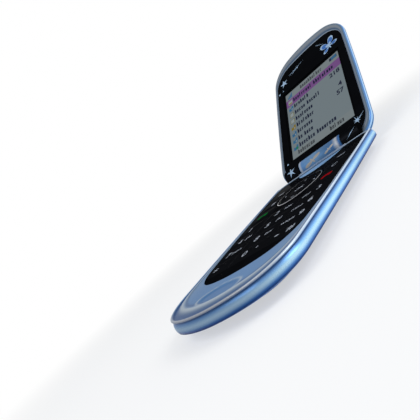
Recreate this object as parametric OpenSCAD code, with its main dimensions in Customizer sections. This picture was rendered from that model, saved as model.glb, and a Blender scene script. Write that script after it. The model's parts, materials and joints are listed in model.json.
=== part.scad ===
// Clamshell phone, open on its hinge. Millimetres, +Z up, keypad facing up, hinge towards +Y.
// The origin is the middle of the flat underside. The lid is drawn in a frame of its own, with the
// hinge axis along X, +Y towards the lid's tip and +Z out of the display.

/* [Body] */
// Width of the base and the lid
body_w = 49.4; // [47:0.1:53]
// Hinge axis to the tip of the chin
chin_reach = 93.7; // [91:0.1:98]
// Thickness of the base, up to its rim
base_t = 7; // [6.9:0.05:8]
// Thickness of the lid
lid_t = 4.6; // [4.5:0.05:5.6]
// Hinge axis to the tip of the lid
lid_reach = 80; // [79:0.1:82]
// Gap between the closed lid and the rim of the base
lid_gap = 0.3; // [0.2:0.05:0.6]
// Angle between the display and the keypad when the lid is open
open_angle = 143; // [120:1:150]
// Side wall of the shells
wall = 1.1; // [0.9:0.05:1.3]
// Floor of the shells
floor_t = 0.75; // [0.6:0.05:0.8]

/* [Outline] */
// Radius of the arc across the chin
chin_arc_r = 38; // [36:1:60]
// Radius of the arc across the lid's tip
lid_arc_r = 50; // [44:1:70]
// Radius of the tip corners
tip_corner_r = 16; // [14:0.5:17]
// Radius of the corners at the hinge
hinge_corner_r = 11; // [9:0.5:12]
// Radius of the bowed long sides
side_bow_r = 1400; // [900:50:3000]
// Distance from the hinge axis to the widest place
widest_y = 15; // [10:1:20]

/* [Hinge] */
// Radius of the barrel and the knuckles
knuckle_r = 3.6; // [3.4:0.05:3.6]
// Length of the barrel
barrel_len = 22.2; // [21:0.1:23]
// Bore of the barrel
barrel_bore_r = 2.75; // [2.6:0.05:2.8]
// From the far end of each lid knuckle to the side of the lid
knuckle_inset = 5.2; // [4.8:0.1:5.6]
// Gap between the knuckles and the barrel, and round the knuckles
knuckle_gap = 0.25; // [0.2:0.01:0.35]
// Radius of the cam shaft
shaft_r = 1.2; // [1:0.05:1.3]
// Outer radius of the hollow bush
bush_r = 1.9; // [1.7:0.05:2]
// Inner radius of the hollow bush
bush_bore_r = 1.4; // [1.3:0.05:1.5]
// Running clearance of the shaft and the bush, on the radius
run_gap = 0.05; // [0.03:0.01:0.08]

/* [Keypad] */
// Length of the bare chin below the keypad plate
chin_len = 14.9; // [13.5:0.1:15.8]
// Space on the keypad plate below the lowest keys
keypad_below = 6.3; // [5.5:0.1:7.5]
// Hinge axis to the upper end of the keypad plate
keypad_top = 5.4; // [5.2:0.1:6]
// Radius of the round tongue in front of the hinge
tongue_r = 12.7; // [12:0.1:13]
// Width of the middle column of keys
column_w = 14.9; // [14:0.1:16]
// Hinge axis to the upper edge of the dial keys
dial_top = 42.3; // [42:0.1:43]
// Gap between neighbouring keys
key_gap = 0.26; // [0.2:0.01:0.4]
// Hinge axis to the centre of the navigation ring
nav_y = 29.5; // [29.2:0.1:29.7]
// Outer radius of the silver ring
nav_trim_r = 9.9; // [9.5:0.1:10.1]
// Width of the silver ring
nav_trim_w = 0.65; // [0.5:0.05:0.8]
// Radius of the centre key
ok_r = 4.4; // [4:0.1:5]
// Travel of the keys
key_travel = 0.35; // [0.2:0.05:0.4]

/* [Display] */
// Space above the window, up to the tip of the lid
window_above = 7.1; // [6.5:0.1:8]
// Space beside the active area, up to the side of the window
screen_side = 5.275; // [5.2:0.025:5.6]
// Space above the active area, up to the end of the window
screen_above = 19.04; // [18.9:0.02:19.4]
// Hinge axis to the lower edge of the active area
screen_y = 10.3; // [9.8:0.1:10.5]

/* [Inside] */
// Space beside the battery, up to the side of the base
battery_side = 8.7; // [8.6:0.1:9.4]
// Space between the lower end of the battery and the tip of the chin
battery_below = 25.7; // [25.5:0.1:28]
// Thickness of the main board
board_t = 0.6; // [0.5:0.05:0.7]
// Sliding travel of the battery cover
cover_travel = 8; // [5:0.5:12]

/* [Hidden] */
$fn = 48;

half_w = body_w / 2;
keypad_w = body_w - 3.4;
keypad_reach = chin_reach - chin_len;
row_pitch = (keypad_reach - keypad_below - dial_top) / 4;
window_w = body_w - 4;
window_reach = lid_reach - window_above;
screen_w = window_w - 2 * screen_side;
screen_h = window_reach - screen_above - screen_y;
hinge_end = 4;                          // how far the bodies reach behind the hinge axis
base_len = chin_reach + hinge_end;
hinge_y = base_len / 2 - hinge_end;     // the origin is halfway along the base
hinge_z = base_t + lid_gap / 2;
slide_gap = 0.05;                       // between parts that lie against each other
fit_gap = 0.15;                         // round a part that sits in a pocket

// heights in the base, from the underside up
cover_t = 1.1;
shell_z = cover_t + slide_gap;          // underside of the lower shell, above the battery cover
floor_z = shell_z + floor_t;
part_z = 3.4;                           // where the two shells meet
board_top = base_t - 2.05;
board_z = board_top - board_t;
dome_t = 0.1;
dome_h = 0.15;
mat_t = 0.6;
mat_z = board_top + dome_t + slide_gap; // underside of the key mat
plate_z = mat_z + mat_t + slide_gap;    // underside of the keypad plate
plate_top = base_t - 0.4;
key_top = base_t - 0.25;
key_z = mat_z + mat_t + key_travel + slide_gap;
plunger_z = board_top + dome_t + dome_h + key_travel + slide_gap;
bay_z = board_z - slide_gap;            // the space under the board ends here

// heights in the lid, from the display face back
face_z = -lid_gap / 2;
window_z = face_z - 0.3;
window_t = 0.8;
window_floor = window_z - window_t - slide_gap;
lid_part_z = face_z - 1.75;
back_z = face_z - lid_t;
lid_floor_z = back_z + floor_t + 0.05;
module_t = 1.4;
lid_board_z = window_floor - module_t - slide_gap;
lid_board_t = 0.4;

lid_end = knuckle_r + knuckle_gap + 0.05;   // lower end of the flat part of the lid
front_cut = knuckle_r + knuckle_gap;        // front edge of the gap for the knuckles
barrel_x = barrel_len / 2;
knuckle_x = barrel_x + knuckle_gap;
corner_x = half_w - knuckle_inset;          // the lid's flat corners start here

screw_r = 0.7;
screw_head_r = 1.3;
boss_r = 1.9;
upper_screw_x = 0.32 * half_w;
upper_screw_y = 8.2;
chin_screw_x = half_w - 10.7;
chin_screw_y = chin_reach - 13.2;
base_screw_spots = [[-upper_screw_x, -upper_screw_y], [upper_screw_x, -upper_screw_y],
    [-chin_screw_x, -chin_screw_y], [chin_screw_x, -chin_screw_y]];
low_screw_x = half_w - 3.5;
low_screw_y = 12;
top_screw_x = half_w - 6.5;
top_screw_y = lid_reach - 17.5;
lid_screw_spots = [[-low_screw_x, low_screw_y], [low_screw_x, low_screw_y],
    [-top_screw_x, top_screw_y], [top_screw_x, top_screw_y]];

battery_y = -22;                            // upper end of the battery
battery_w = body_w - 2 * battery_side;
battery_len = chin_reach + battery_y - battery_below;
battery_t = bay_z - shell_z - 0.2;
rib_t = 0.8;
cover_end = -16;                            // upper end of the battery cover
connector_y = -33;
connector_w = 7.6;
rocker_y = -52;
rocker_len = 13;
mic_y = -keypad_reach - 2.5;
mic_r = 1.8;
row_y = battery_y + 2.3;                    // lower edge of the shield can and the loudspeaker
row_x = half_w - 6.8;                       // their outer end
row_len = 8;
motor_spot = [half_w - 9.8, -8.6];
sim_box = [15, 12, 0.8];
sim_y = 9 - chin_reach;
antenna_w = 28;
function_rows = [14.9, 23.7, 32.4, 41.8];   // edges of the rows beside the navigation ring
camera_y = 17;
camera_w = 6;
lid_board_w = screen_w + 3.15;
earpiece_y = window_reach - 6.3;
earpiece_w = 10;
earpiece_h = 6;
outer_window_y = lid_reach * 0.55;
outer_window_h = 17;

blue = "#8fb0d4";
deep_blue = "#5f86b6";
gloss_black = "#101116";
silver = "#c9ccd2";
steel = "#a9adb4";
board_green = "#2e6a48";
dark = "#2b2d33";
cream = "#d8d4c4";

// ---- outline of the bodies: four arcs on each side, each running on into the next ----

// the point where a circle round a and a circle round b cross, on the side asked for
function cross_point(a, ra, b, rb, side) =
    let (d = norm(b - a), u = (b - a) / d, along = (ra * ra - rb * rb + d * d) / (2 * d),
         across = sqrt(ra * ra - along * along))
    a + along * u + side * across * [-u[1], u[0]];
function heading(from, to) = atan2(to[1] - from[1], to[0] - from[0]);
function arc(c, r, a0, a1, steps) =
    [for (i = [0:steps - 1]) let (a = a0 + (a1 - a0) * i / steps) c + r * [cos(a), sin(a)]];

// Right half of an outline, from the tip round to the hinge end. Every arc shrinks by the inset.
function half_outline(w, reach, tip_r, corner_r, bow_r, end, end_r, inset) =
    let (tip_c = [0, tip_r - reach],
         bow_c = [w / 2 - bow_r, -widest_y],
         corner_c = cross_point(tip_c, tip_r - corner_r, bow_c, bow_r - corner_r, 1),
         end_c = [bow_c[0] + sqrt(pow(bow_r - end_r, 2) - pow(end - end_r + widest_y, 2)), end - end_r],
         a1 = heading(tip_c, corner_c), a2 = heading(bow_c, corner_c), a3 = heading(bow_c, end_c))
    concat(arc(tip_c, tip_r - inset, -90, a1, 4), arc(corner_c, corner_r - inset, a1, a2, 7),
        arc(bow_c, bow_r - inset, a2, a3, 3), arc(end_c, end_r - inset, a3, 90, 6),
        [[end_c[0], end - inset]]);
function both_halves(half) =
    concat(half, [for (i = [len(half) - 1:-1:1]) [-half[i][0], half[i][1]]]);

module base_plan(inset = 0)
    polygon(both_halves(half_outline(body_w, chin_reach, chin_arc_r, tip_corner_r, side_bow_r,
        hinge_end, hinge_corner_r, inset)));
module lid_plan(inset = 0)
    mirror([0, 1]) polygon(both_halves(half_outline(body_w, lid_reach, lid_arc_r, tip_corner_r,
        side_bow_r, hinge_end, hinge_corner_r, inset)));
module window_plan(inset = 0) {
    intersection() {
        mirror([0, 1]) polygon(both_halves(half_outline(window_w, window_reach, 85, 11.8, side_bow_r,
            2, 11, inset)));
        translate([-half_w, lid_end + inset]) square([body_w, lid_reach]);
    }
}
module keypad_plan(inset = 0) {
    difference() {
        polygon(both_halves(half_outline(keypad_w, keypad_reach, 40, 13, 430, -keypad_top, 4, inset)));
        translate([0, -1.1]) circle(tongue_r + inset);
    }
}

module on_base() translate([0, hinge_y, 0]) children();
module on_lid() translate([0, hinge_y, hinge_z]) rotate([180 - open_angle, 0, 0]) children();
module slab(z0, z1) translate([0, 0, z0]) linear_extrude(z1 - z0) children();
// a skin whose outline follows [height, inset] pairs, joined band by band
module base_skin(steps, shave = 0)
    for (i = [0:len(steps) - 2]) hull() for (s = [steps[i], steps[i + 1]])
        slab(s[0] - 0.01, s[0] + 0.01) base_plan(s[1] + shave);
module lid_skin(steps)
    for (i = [0:len(steps) - 2]) hull() for (s = [steps[i], steps[i + 1]])
        slab(s[0] - 0.01, s[0] + 0.01) lid_plan(s[1]);
module along_x(x0, x1, r) translate([x0, 0, 0]) rotate([0, 90, 0]) cylinder(r = r, h = x1 - x0);
// a box across the whole width, between two distances along the phone
module band(y0, y1, z0, z1) translate([-half_w - 1, y0, z0]) cube([body_w + 2, y1 - y0, z1 - z0]);
module both_sides() { children(); mirror([1, 0, 0]) children(); }
module at_spots(spots) for (p = spots) translate(p) children();
function side_x(y, inset = 0) =
    half_w - side_bow_r + sqrt(pow(side_bow_r - inset, 2) - pow(y + widest_y, 2));

// ---- base ----

// the underside curves in like a boat's, so the wall under the side band is hardly seen from above
cover_steps = [[0.01, 10.4], [0.45, 8.6], [cover_t - 0.01, 6.6]];
lower_steps = [[shell_z + 0.01, 6.45], [2.5, 2.2], [3, 0.8], [part_z - 0.01, 0.13]];
heel_steps = [[0.01, 10.4], [0.45, 8.6], [shell_z + 0.02, 6.45]];
hollow_steps = [[floor_z + 0.01, 6.5], [part_z - 0.25, 2.5]];
upper_steps = [[part_z + 0.01, 0.12], [4.4, 0], [base_t - 1.6, 0.3], [base_t - 0.7, 0.5],
    [base_t - 0.01, 0.85]];

module knuckle_room() both_sides() translate([barrel_x, -front_cut, hinge_z - knuckle_r - 0.35])
    cube([half_w, hinge_end + front_cut + 1, base_t]);
module connector_slot() translate([-half_w - 1, connector_y - connector_w / 2, 2.2])
    cube([7, connector_w, 1.8]);
// the space between the shells stops short of the barrel and the knuckles
module inner_plan(inset) difference() {
    base_plan(inset);
    translate([-half_w, -front_cut - 1]) square([body_w, 12]);
}

module base_lower_shell() color(deep_blue) on_base() difference() {
    union() {
        difference() {
            union() {
                base_skin(lower_steps);
                intersection() { base_skin(heel_steps); band(cover_end + 0.1, 20, -1, base_t); }
            }
            difference() {
                union() {
                    base_skin(hollow_steps);
                    slab(part_z - 0.26, part_z + 1) base_plan(2.5);
                }
                band(-front_cut - 1, 20, -1, base_t);
            }
        }
        // rib round the battery bay
        translate([-battery_w / 2 - rib_t - fit_gap, battery_y - battery_len - fit_gap - rib_t,
            floor_z - 0.1])
            cube([battery_w + 2 * (rib_t + fit_gap), battery_len + 2 * (rib_t + fit_gap),
                bay_z - floor_z + 0.1]);
        at_spots(base_screw_spots) translate([0, 0, floor_z - 0.1])
            cylinder(r = boss_r, h = bay_z - floor_z + 0.1);
    }
    // battery bay, open to the cover
    translate([-battery_w / 2 - fit_gap, battery_y - battery_len - fit_gap, 0])
        cube([battery_w + 2 * fit_gap, battery_len + 2 * fit_gap, base_t]);
    at_spots(base_screw_spots) {
        cylinder(r = screw_r + 0.1, h = base_t);
        cylinder(r = screw_head_r + 0.1, h = floor_z + 0.4);
    }
    // room for the battery contacts
    translate([-5.4, battery_y, floor_z + 0.05]) cube([8, 1.5, base_t]);
    connector_slot();
    translate([0, 0, hinge_z]) along_x(-barrel_x - 0.1, barrel_x + 0.1, knuckle_r + 0.02);
    knuckle_room();
    // speaker outlet in the underside
    for (i = [-2:2]) translate([row_x - 8 + 2.2 * i, row_y + row_len - 2, 0])
        cylinder(r = 0.6, h = floor_z + 0.1, $fn = 24);
}

module base_upper_shell() color(blue) on_base() difference() {
    union() {
        difference() {
            base_skin(upper_steps);
            slab(part_z - 1, plate_z - mat_t) inner_plan(wall);
        }
        // boss under each screw's thread
        at_spots(base_screw_spots) translate([0, 0, board_top + slide_gap]) cylinder(r = 1.6, h = 1);
    }
    slab(plate_z - slide_gap, base_t + 1) keypad_plan(0);
    slab(part_z, base_t) keypad_plan(1.1);
    at_spots(base_screw_spots) cylinder(r = screw_r, h = base_t - 0.7);
    connector_slot();
    translate([0, 0, hinge_z]) along_x(-barrel_x - 0.1, barrel_x + 0.1, knuckle_r + 0.03);
    translate([-barrel_x - 0.2, 0, hinge_z - knuckle_r / 2]) cube([barrel_len + 0.4, hinge_end + 1, base_t]);
    knuckle_room();
    // flexible circuit's way from the barrel to the board
    translate([-5.3, -front_cut - 1.5, board_top - 0.1]) cube([6.6, 3, 0.4]);
    // microphone, below its dimple in the chin
    translate([0, mic_y, 0]) cylinder(r = mic_r + 0.2, h = board_top + 1.2);
    translate([0, mic_y, 0]) cylinder(r = 0.5, h = base_t + 1, $fn = 24);
    // opening of the volume rocker
    translate([-half_w - 1, rocker_y - rocker_len / 2 - fit_gap, part_z - 1])
        cube([3, rocker_len + 2 * fit_gap, 2.7]);
}

module battery_cover() color(deep_blue) on_base()
    intersection() { base_skin(cover_steps); band(-chin_reach - 1, cover_end, -1, base_t); }

// three openings for the keys, and a round one for the navigation ring
module keypad_plate() color(gloss_black) on_base() slab(plate_z, plate_top) difference() {
    keypad_plan(slide_gap);
    key_block(-half_w, half_w, -dial_top - 4 * row_pitch, -dial_top, key_gap / 2);
    for (side = [-1, 1]) key_column(side, function_rows[0], function_rows[3], key_gap / 2);
    translate([0, -nav_y]) circle(nav_trim_r + slide_gap);
}
module nav_trim() color(silver) on_base() translate([0, -nav_y, 0]) slab(plate_z, base_t - 0.15) difference() {
    circle(nav_trim_r);
    circle(nav_trim_r - nav_trim_w);
}

// outlines of the keys: cells of a grid, cut by the keypad's own outline
column_edges = [-half_w, -column_w / 2, column_w / 2, half_w];
module key_block(x0, x1, y0, y1, grow) intersection() {
    translate([x0 + key_gap / 2 - grow, y0 + key_gap / 2 - grow])
        square([x1 - x0 - key_gap + 2 * grow, y1 - y0 - key_gap + 2 * grow]);
    keypad_plan(0.9 - grow);
}
module key_column(side, from, to, grow) difference() {
    key_block(side > 0 ? column_w / 2 : -half_w, side > 0 ? half_w : -column_w / 2, -to, -from, grow);
    translate([0, -nav_y]) circle(nav_trim_r + 0.5 - grow);
}
module dial_key(row, column) key_block(column_edges[column], column_edges[column + 1],
    -dial_top - row_pitch * (row + 1), -dial_top - row_pitch * row, 0);
module function_key(row, side) key_column(side, function_rows[row], function_rows[row + 1], 0);
// a key's cap stands over its plunger
module cap_and_plunger(spot) {
    slab(key_z, key_top) children();
    translate([spot[0], spot[1], plunger_z]) cylinder(r = 2.1, h = key_z - plunger_z + 0.01);
}
dial_x = half_w - 10.5;
function_x = half_w - 8.7;
column_centres = [-dial_x, 0, dial_x];
function dial_spot(row, column) = [column_centres[column], -dial_top - row_pitch * (row + 0.5)];
function function_spot(row, side) = [side * function_x, -(function_rows[row] + function_rows[row + 1]) / 2];
module dial_key_part(row, column) color(gloss_black) on_base()
    cap_and_plunger(dial_spot(row, column)) dial_key(row, column);
module function_key_part(row, side) color(gloss_black) on_base()
    cap_and_plunger(function_spot(row, side)) function_key(row, side);

module key_1() dial_key_part(0, 0);
module key_2() dial_key_part(0, 1);
module key_3() dial_key_part(0, 2);
module key_4() dial_key_part(1, 0);
module key_5() dial_key_part(1, 1);
module key_6() dial_key_part(1, 2);
module key_7() dial_key_part(2, 0);
module key_8() dial_key_part(2, 1);
module key_9() dial_key_part(2, 2);
module key_star() dial_key_part(3, 0);
module key_0() dial_key_part(3, 1);
module key_hash() dial_key_part(3, 2);
module soft_key_left() function_key_part(0, -1);
module soft_key_right() function_key_part(0, 1);
module menu_key() function_key_part(1, -1);
module clear_key() function_key_part(1, 1);
module call_key() function_key_part(2, -1);
module end_key() function_key_part(2, 1);
module ok_key() color(gloss_black) on_base() translate([0, -nav_y, 0]) {
    slab(key_z, key_top) circle(ok_r);
    translate([0, 0, plunger_z]) cylinder(r = 2.1, h = key_z - plunger_z + 0.01);
}
// the navigation ring rocks on a web: the web about X, the ring on it about Y
nav_r = nav_trim_r - nav_trim_w - 0.15;
module nav_ring() color(gloss_black) on_base() translate([0, -nav_y, 0]) slab(key_z, key_top) difference() {
    circle(nav_r);
    circle(ok_r + 0.15);
}
module nav_web() color(cream) on_base() translate([0, -nav_y, 0]) slab(key_z - 0.5, key_z - 0.2) difference() {
    circle(6.6);
    circle(ok_r + 0.5);
}

module all_spots() {
    for (row = [0:3], column = [0:2]) translate(dial_spot(row, column)) children();
    for (row = [0:2], side = [-1, 1]) translate(function_spot(row, side)) children();
}
module keymat() color(cream) on_base() slab(mat_z, mat_z + mat_t) difference() {
    keypad_plan(1.3);
    all_spots() circle(2.9);
    translate([0, -nav_y]) circle(nav_r + 0.2);
}
module dome_sheet() color(steel) on_base() {
    slab(board_top + 0.01, board_top + dome_t) keypad_plan(1.5);
    all_spots() translate([0, 0, board_top + dome_t - 0.01]) cylinder(r = 2, h = dome_h, $fn = 24);
    translate([0, -nav_y, board_top + dome_t - 0.01]) {
        cylinder(r = 2, h = dome_h, $fn = 24);
        for (a = [0:90:270]) rotate([0, 0, a]) translate([7.4, 0, 0]) cylinder(r = 1.2, h = dome_h, $fn = 24);
    }
}
module main_board() color(board_green) on_base() slab(board_z, board_top) difference() {
    base_plan(wall + 0.6);
    translate([-half_w, -chin_reach - 1]) square([body_w, 7]);
    translate([-half_w, -front_cut - 1.2]) square([body_w, 12]);
    at_spots(base_screw_spots) circle(screw_r + 0.1);
    translate([-half_w, rocker_y - rocker_len / 2 - 1.2]) square([3.1, rocker_len + 2.4]);
}
module shield_can() color(steel) on_base() translate([-row_x, row_y, floor_z + 0.3])
    difference() {
        cube([row_x - 3.5, row_len, board_z - floor_z - 0.35]);
        translate([0.3, 0.3, 0.3]) cube([row_x - 4.1, row_len - 0.6, 5]);
    }
module battery() color(dark) on_base()
    translate([-battery_w / 2, battery_y - battery_len, shell_z + 0.05])
        cube([battery_w, battery_len, battery_t]);
module battery_contacts() color("#c8a24a") on_base() for (x = [-5, -2.2, 0.6])
    translate([x, battery_y + 0.05, floor_z + 0.1]) cube([1.6, 2, board_z - floor_z - 0.15]);
module sim_holder() color(steel) on_base() translate([-sim_box[0] / 2 - 0.5, sim_y, floor_z + 0.05])
difference() {
    cube([sim_box[0] + 1, sim_box[1] + 0.8, 1.5]);
    translate([0.45, -1, 0.25]) cube([sim_box[0] + 0.1, sim_box[1] + 1.3, sim_box[2] + 0.1]);
}
module sim_card() color("#e6e1d2") on_base()
    translate([-sim_box[0] / 2, sim_y, floor_z + 0.35]) cube([sim_box[0], sim_box[1], sim_box[2]]);
module antenna() color(cream) on_base() slab(part_z + 0.1, board_top) difference() {
    intersection() {
        base_plan(wall + 0.3);
        translate([-antenna_w / 2, -chin_reach - 1]) square([antenna_w, 6.8]);
    }
    base_plan(wall + 2.2);
}
module microphone() color(steel) on_base() translate([0, mic_y, board_top + 0.02]) cylinder(r = mic_r, h = 1.1);
module loudspeaker() color(dark) on_base() translate([3, row_y, floor_z + 0.02])
    cube([row_x - 3, row_len - 0.2, board_z - floor_z - 0.2]);
module vibration_motor() color(steel) on_base() translate([motor_spot[0], motor_spot[1], floor_z + 0.02])
    cylinder(r = 3.1, h = 2.2);
module data_connector() color(steel) on_base()
    translate([-side_x(connector_y) + 2.8, connector_y - connector_w / 2 + 0.1, 2.3]) difference() {
        union() {
            cube([4.6, connector_w - 0.2, 1.6]);
            translate([0.8, 0, 0]) cube([3.8, connector_w - 0.2, board_z - 2.35]);
        }
        translate([-1, 0.35, 0.3]) cube([4.2, connector_w - 0.9, 1]);
    }
module base_screws() color(steel) on_base() at_spots(base_screw_spots) translate([0, 0, floor_z]) {
    difference() {
        translate([0, 0, -0.3]) cylinder(r = screw_head_r, h = 0.6);
        translate([0, 0, -0.4]) cylinder(r = 0.55, h = 0.45, $fn = 6);
    }
    cylinder(r = screw_r - 0.05, h = base_t - 0.9 - floor_z);
}
// rocker: cap in the wall's opening and a wider flange behind it
module volume_rocker() color(deep_blue) on_base() translate([-side_x(rocker_y), rocker_y, part_z + 0.15]) {
    translate([-0.4, -rocker_len / 2, 0]) cube([1.4, rocker_len, 1.45]);
    translate([wall + 0.45, -rocker_len / 2 - 0.6, 0]) cube([0.6, rocker_len + 1.2, 1.45]);
    translate([0.6, -1.5, 0]) cube([wall, 3, 1.45]);
}

// ---- hinge ----

module hinge_cover() color(deep_blue) on_base() translate([0, 0, hinge_z]) rotate([90, 0, 90]) difference() {
    rotate_extrude() polygon([[0, -barrel_x], [knuckle_r - 0.7, -barrel_x], [knuckle_r - 0.2, -barrel_x + 0.25],
        [knuckle_r, -barrel_x + 0.8], [knuckle_r, barrel_x - 0.8], [knuckle_r - 0.2, barrel_x - 0.25],
        [knuckle_r - 0.7, barrel_x], [0, barrel_x]]);
    translate([0, 0, -barrel_x - 1]) cylinder(r = barrel_bore_r, h = barrel_len + 2);
    // way out for the flexible circuit
    translate([-front_cut - 1, -knuckle_r - 0.5, -5.2]) cube([front_cut, knuckle_r, 6.4]);
}
module hinge_cartridge() color(steel) on_base() translate([0, 0, hinge_z]) difference() {
    along_x(2.5, barrel_x, barrel_bore_r - run_gap);
    along_x(6.5, barrel_x + 1, shaft_r + run_gap);
}
module hinge_bush() color(steel) on_base() translate([0, 0, hinge_z]) difference() {
    union() {
        along_x(-barrel_x, -8, barrel_bore_r - run_gap);
        along_x(-knuckle_x - 3.9, -8, bush_r);
    }
    along_x(-knuckle_x - 5, -7, bush_bore_r);
}
module base_flex() color("#c98a3a") on_base() {
    translate([0, 0, hinge_z]) along_x(-knuckle_x - 1.4, 1.2, 1.1);
    translate([-5, -0.15, board_top + 0.02]) cube([6, 0.15, hinge_z - board_top - 1]);
    translate([-5, -front_cut - 5, board_top + 0.02]) cube([6, front_cut + 5, 0.15]);
}
module hinge_shaft() color(steel) on_lid() along_x(6.8, knuckle_x + 4.2, shaft_r);

// ---- lid ----

inner_steps = [[face_z - 0.01, 0.85], [face_z - 0.6, 0.22], [lid_part_z + 0.01, 0]];
outer_steps = [[lid_part_z - 0.01, 0.02], [face_z - 2.6, 0.3], [face_z - 3.6, 1.3], [back_z + 0.2, 2.9],
    [back_z + 0.01, 4.2]];

module lid_body_only() band(lid_end, lid_reach + 1, back_z - 1, 1);
corner_steps = [[face_z - 0.01, 0.85], [face_z - 0.6, 0.22], [lid_part_z, 0], [face_z - 2.6, 0.3],
    [0.01 - knuckle_r, 1.1]];
// Rounded lower corner of the lid, beside each knuckle. Seen from the side it ends in an arc round
// the hinge axis, so it turns past the base as the knuckle does.
module lid_corner() intersection() {
    lid_skin(corner_steps);
    translate([corner_x, 0, 0]) rotate([90, 0, 90]) linear_extrude(half_w)
        polygon(concat([[lid_end - slide_gap, 1], [lid_end - slide_gap, -knuckle_r]],
            [for (a = [-90:-15:-165]) knuckle_r * [cos(a), sin(a)]], [[-knuckle_r, 1]]));
}
// web that joins a knuckle to the flat part of the lid
module knuckle_web(x0, x1, reach) translate([x0, 0, back_z + 1.3])
    cube([x1 - x0, reach, face_z - back_z - 1.3]);

module lid_knuckles() color(gloss_black) on_lid() {
    difference() {
        union() {
            along_x(knuckle_x, corner_x - slide_gap, knuckle_r);
            knuckle_web(knuckle_x, corner_x - slide_gap, lid_end - slide_gap);
        }
        along_x(knuckle_x - 1, knuckle_x + 4.2, shaft_r + 0.02);
    }
    difference() {
        mirror([1, 0, 0]) union() {
            along_x(knuckle_x, corner_x - slide_gap, knuckle_r);
            knuckle_web(knuckle_x, corner_x - slide_gap, lid_end - slide_gap);
        }
        along_x(-knuckle_x - 4, -knuckle_x + 1, bush_r + run_gap);
        along_x(-corner_x + 0.9, -knuckle_x - 4, 2.3);
        translate([-corner_x + 0.9, 0, lid_board_z - 0.25]) cube([3, lid_end + 1, 1.1]);
    }
}
module lid_inner_shell() color(silver) on_lid() {
    difference() {
        intersection() { lid_skin(inner_steps); lid_body_only(); }
        slab(window_floor, 1) window_plan(0);
        // lower edge of the window's recess is open
        translate([-window_w / 2 + 1.4, lid_end - 1, window_floor]) cube([window_w - 2.8, 3, 3]);
        translate([-screen_w / 2 - 2.2, screen_y - 3.2, lid_part_z - 1])
            cube([screen_w + 4.4, screen_h + 8.4, 3]);
        translate([-earpiece_w / 2 - 0.2, earpiece_y - earpiece_h / 2 - 0.2, lid_part_z - 1])
            cube([earpiece_w + 0.4, earpiece_h + 0.4, 3]);
        translate([-earpiece_w / 2, earpiece_y, window_floor - 0.35])
            cube([earpiece_w, window_reach - 1.3 - earpiece_y, 1]);
        at_spots(lid_screw_spots) {
            translate([0, 0, lid_part_z - 1]) cylinder(r = screw_r + 0.05, h = 5);
            translate([0, 0, window_floor - 0.3]) cylinder(r = screw_head_r + 0.1, h = 5);
        }
    }
    both_sides() union() {
        lid_corner();
        translate([corner_x, lid_end - 1, lid_part_z + 0.05])
            cube([knuckle_inset - 1.2, 1.5, window_floor - lid_part_z - 0.05]);
    }
}
module lid_outer_shell() color(blue) on_lid() difference() {
    union() {
        difference() {
            intersection() { lid_skin(outer_steps); lid_body_only(); }
            intersection() {
                slab(lid_floor_z, 0) lid_plan(wall + 0.9);
                band(lid_end + 1, lid_reach, back_z, 1);
            }
        }
        at_spots(lid_screw_spots) translate([0, 0, back_z + 0.5])
            cylinder(r = 1.5, h = lid_part_z - back_z - 0.52);
    }
    at_spots(lid_screw_spots) translate([0, 0, back_z + 0.9]) cylinder(r = screw_r, h = 5);
    // outer window and camera
    slab(back_z - 1, lid_floor_z + 0.1) outer_window_plan(0);
    translate([0, camera_y, back_z - 1]) cylinder(r = 3.4, h = 3);
    translate([-corner_x + 0.9, lid_end - 1, lid_board_z - 0.25]) cube([3, 3, 1.1]);
    // the back slopes up to the knuckles
    translate([-half_w - 1, lid_end, back_z + 1]) rotate([-6.6, 0, 0])
        translate([0, -3, -6]) cube([body_w + 2, 13, 6]);
}
module outer_window_plan(inset) translate([0, outer_window_y]) intersection() {
    square([2 * outer_window_h, outer_window_h - 2 * inset], center = true);
    circle(outer_window_h * 0.82 - inset);
}
// the window has a slit over the earpiece, close to its upper end
module display_window() color(gloss_black) on_lid() difference() {
    slab(window_z - window_t, window_z) window_plan(slide_gap);
    translate([-earpiece_w / 2, window_reach - 1.9, window_z - 2]) cube([earpiece_w, 0.6, 4]);
}
module display_module() color(steel) on_lid()
    translate([-screen_w / 2 - 2, screen_y - 3, window_floor - module_t])
        cube([screen_w + 4, screen_h + 8, module_t]);
module lid_board() color(board_green) on_lid()
    translate([-lid_board_w / 2, screen_y - 4.8, lid_board_z - lid_board_t])
        cube([lid_board_w, screen_h + 7, lid_board_t]);
module earpiece() color(dark) on_lid()
    translate([-earpiece_w / 2, earpiece_y - earpiece_h / 2, window_floor - 2]) cube([earpiece_w, earpiece_h, 2]);
module outer_display() color(steel) on_lid()
    translate([1 - outer_window_h * 0.6, outer_window_y + 1 - outer_window_h / 2, lid_floor_z + 0.15])
        cube([outer_window_h * 1.2 - 2, outer_window_h - 2, lid_board_z - lid_board_t - lid_floor_z - 0.2]);
module outer_window() color(gloss_black) on_lid()
    slab(back_z + 0.05, lid_floor_z + 0.05) outer_window_plan(slide_gap);
module camera_module() color(dark) on_lid() translate([0, camera_y, 0]) {
    translate([-camera_w / 2, -camera_w / 2, lid_floor_z + 0.1])
        cube([camera_w, camera_w, lid_board_z - lid_board_t - lid_floor_z - 0.15]);
    translate([0, 0, back_z + 0.3]) cylinder(r = 2.1, h = 1);
}
module camera_bezel() color(silver) on_lid() translate([0, camera_y, back_z - 0.15]) difference() {
    cylinder(r = 3.35, h = lid_floor_z - back_z + 0.15);
    translate([0, 0, -1]) cylinder(r = 2.2, h = 4);
}
module lid_screws() color(steel) on_lid() at_spots(lid_screw_spots) {
    translate([0, 0, window_floor - 0.28]) cylinder(r = screw_head_r, h = 0.25);
    translate([0, 0, back_z + 1]) cylinder(r = screw_r - 0.05, h = window_floor - back_z - 1.2);
}
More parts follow.
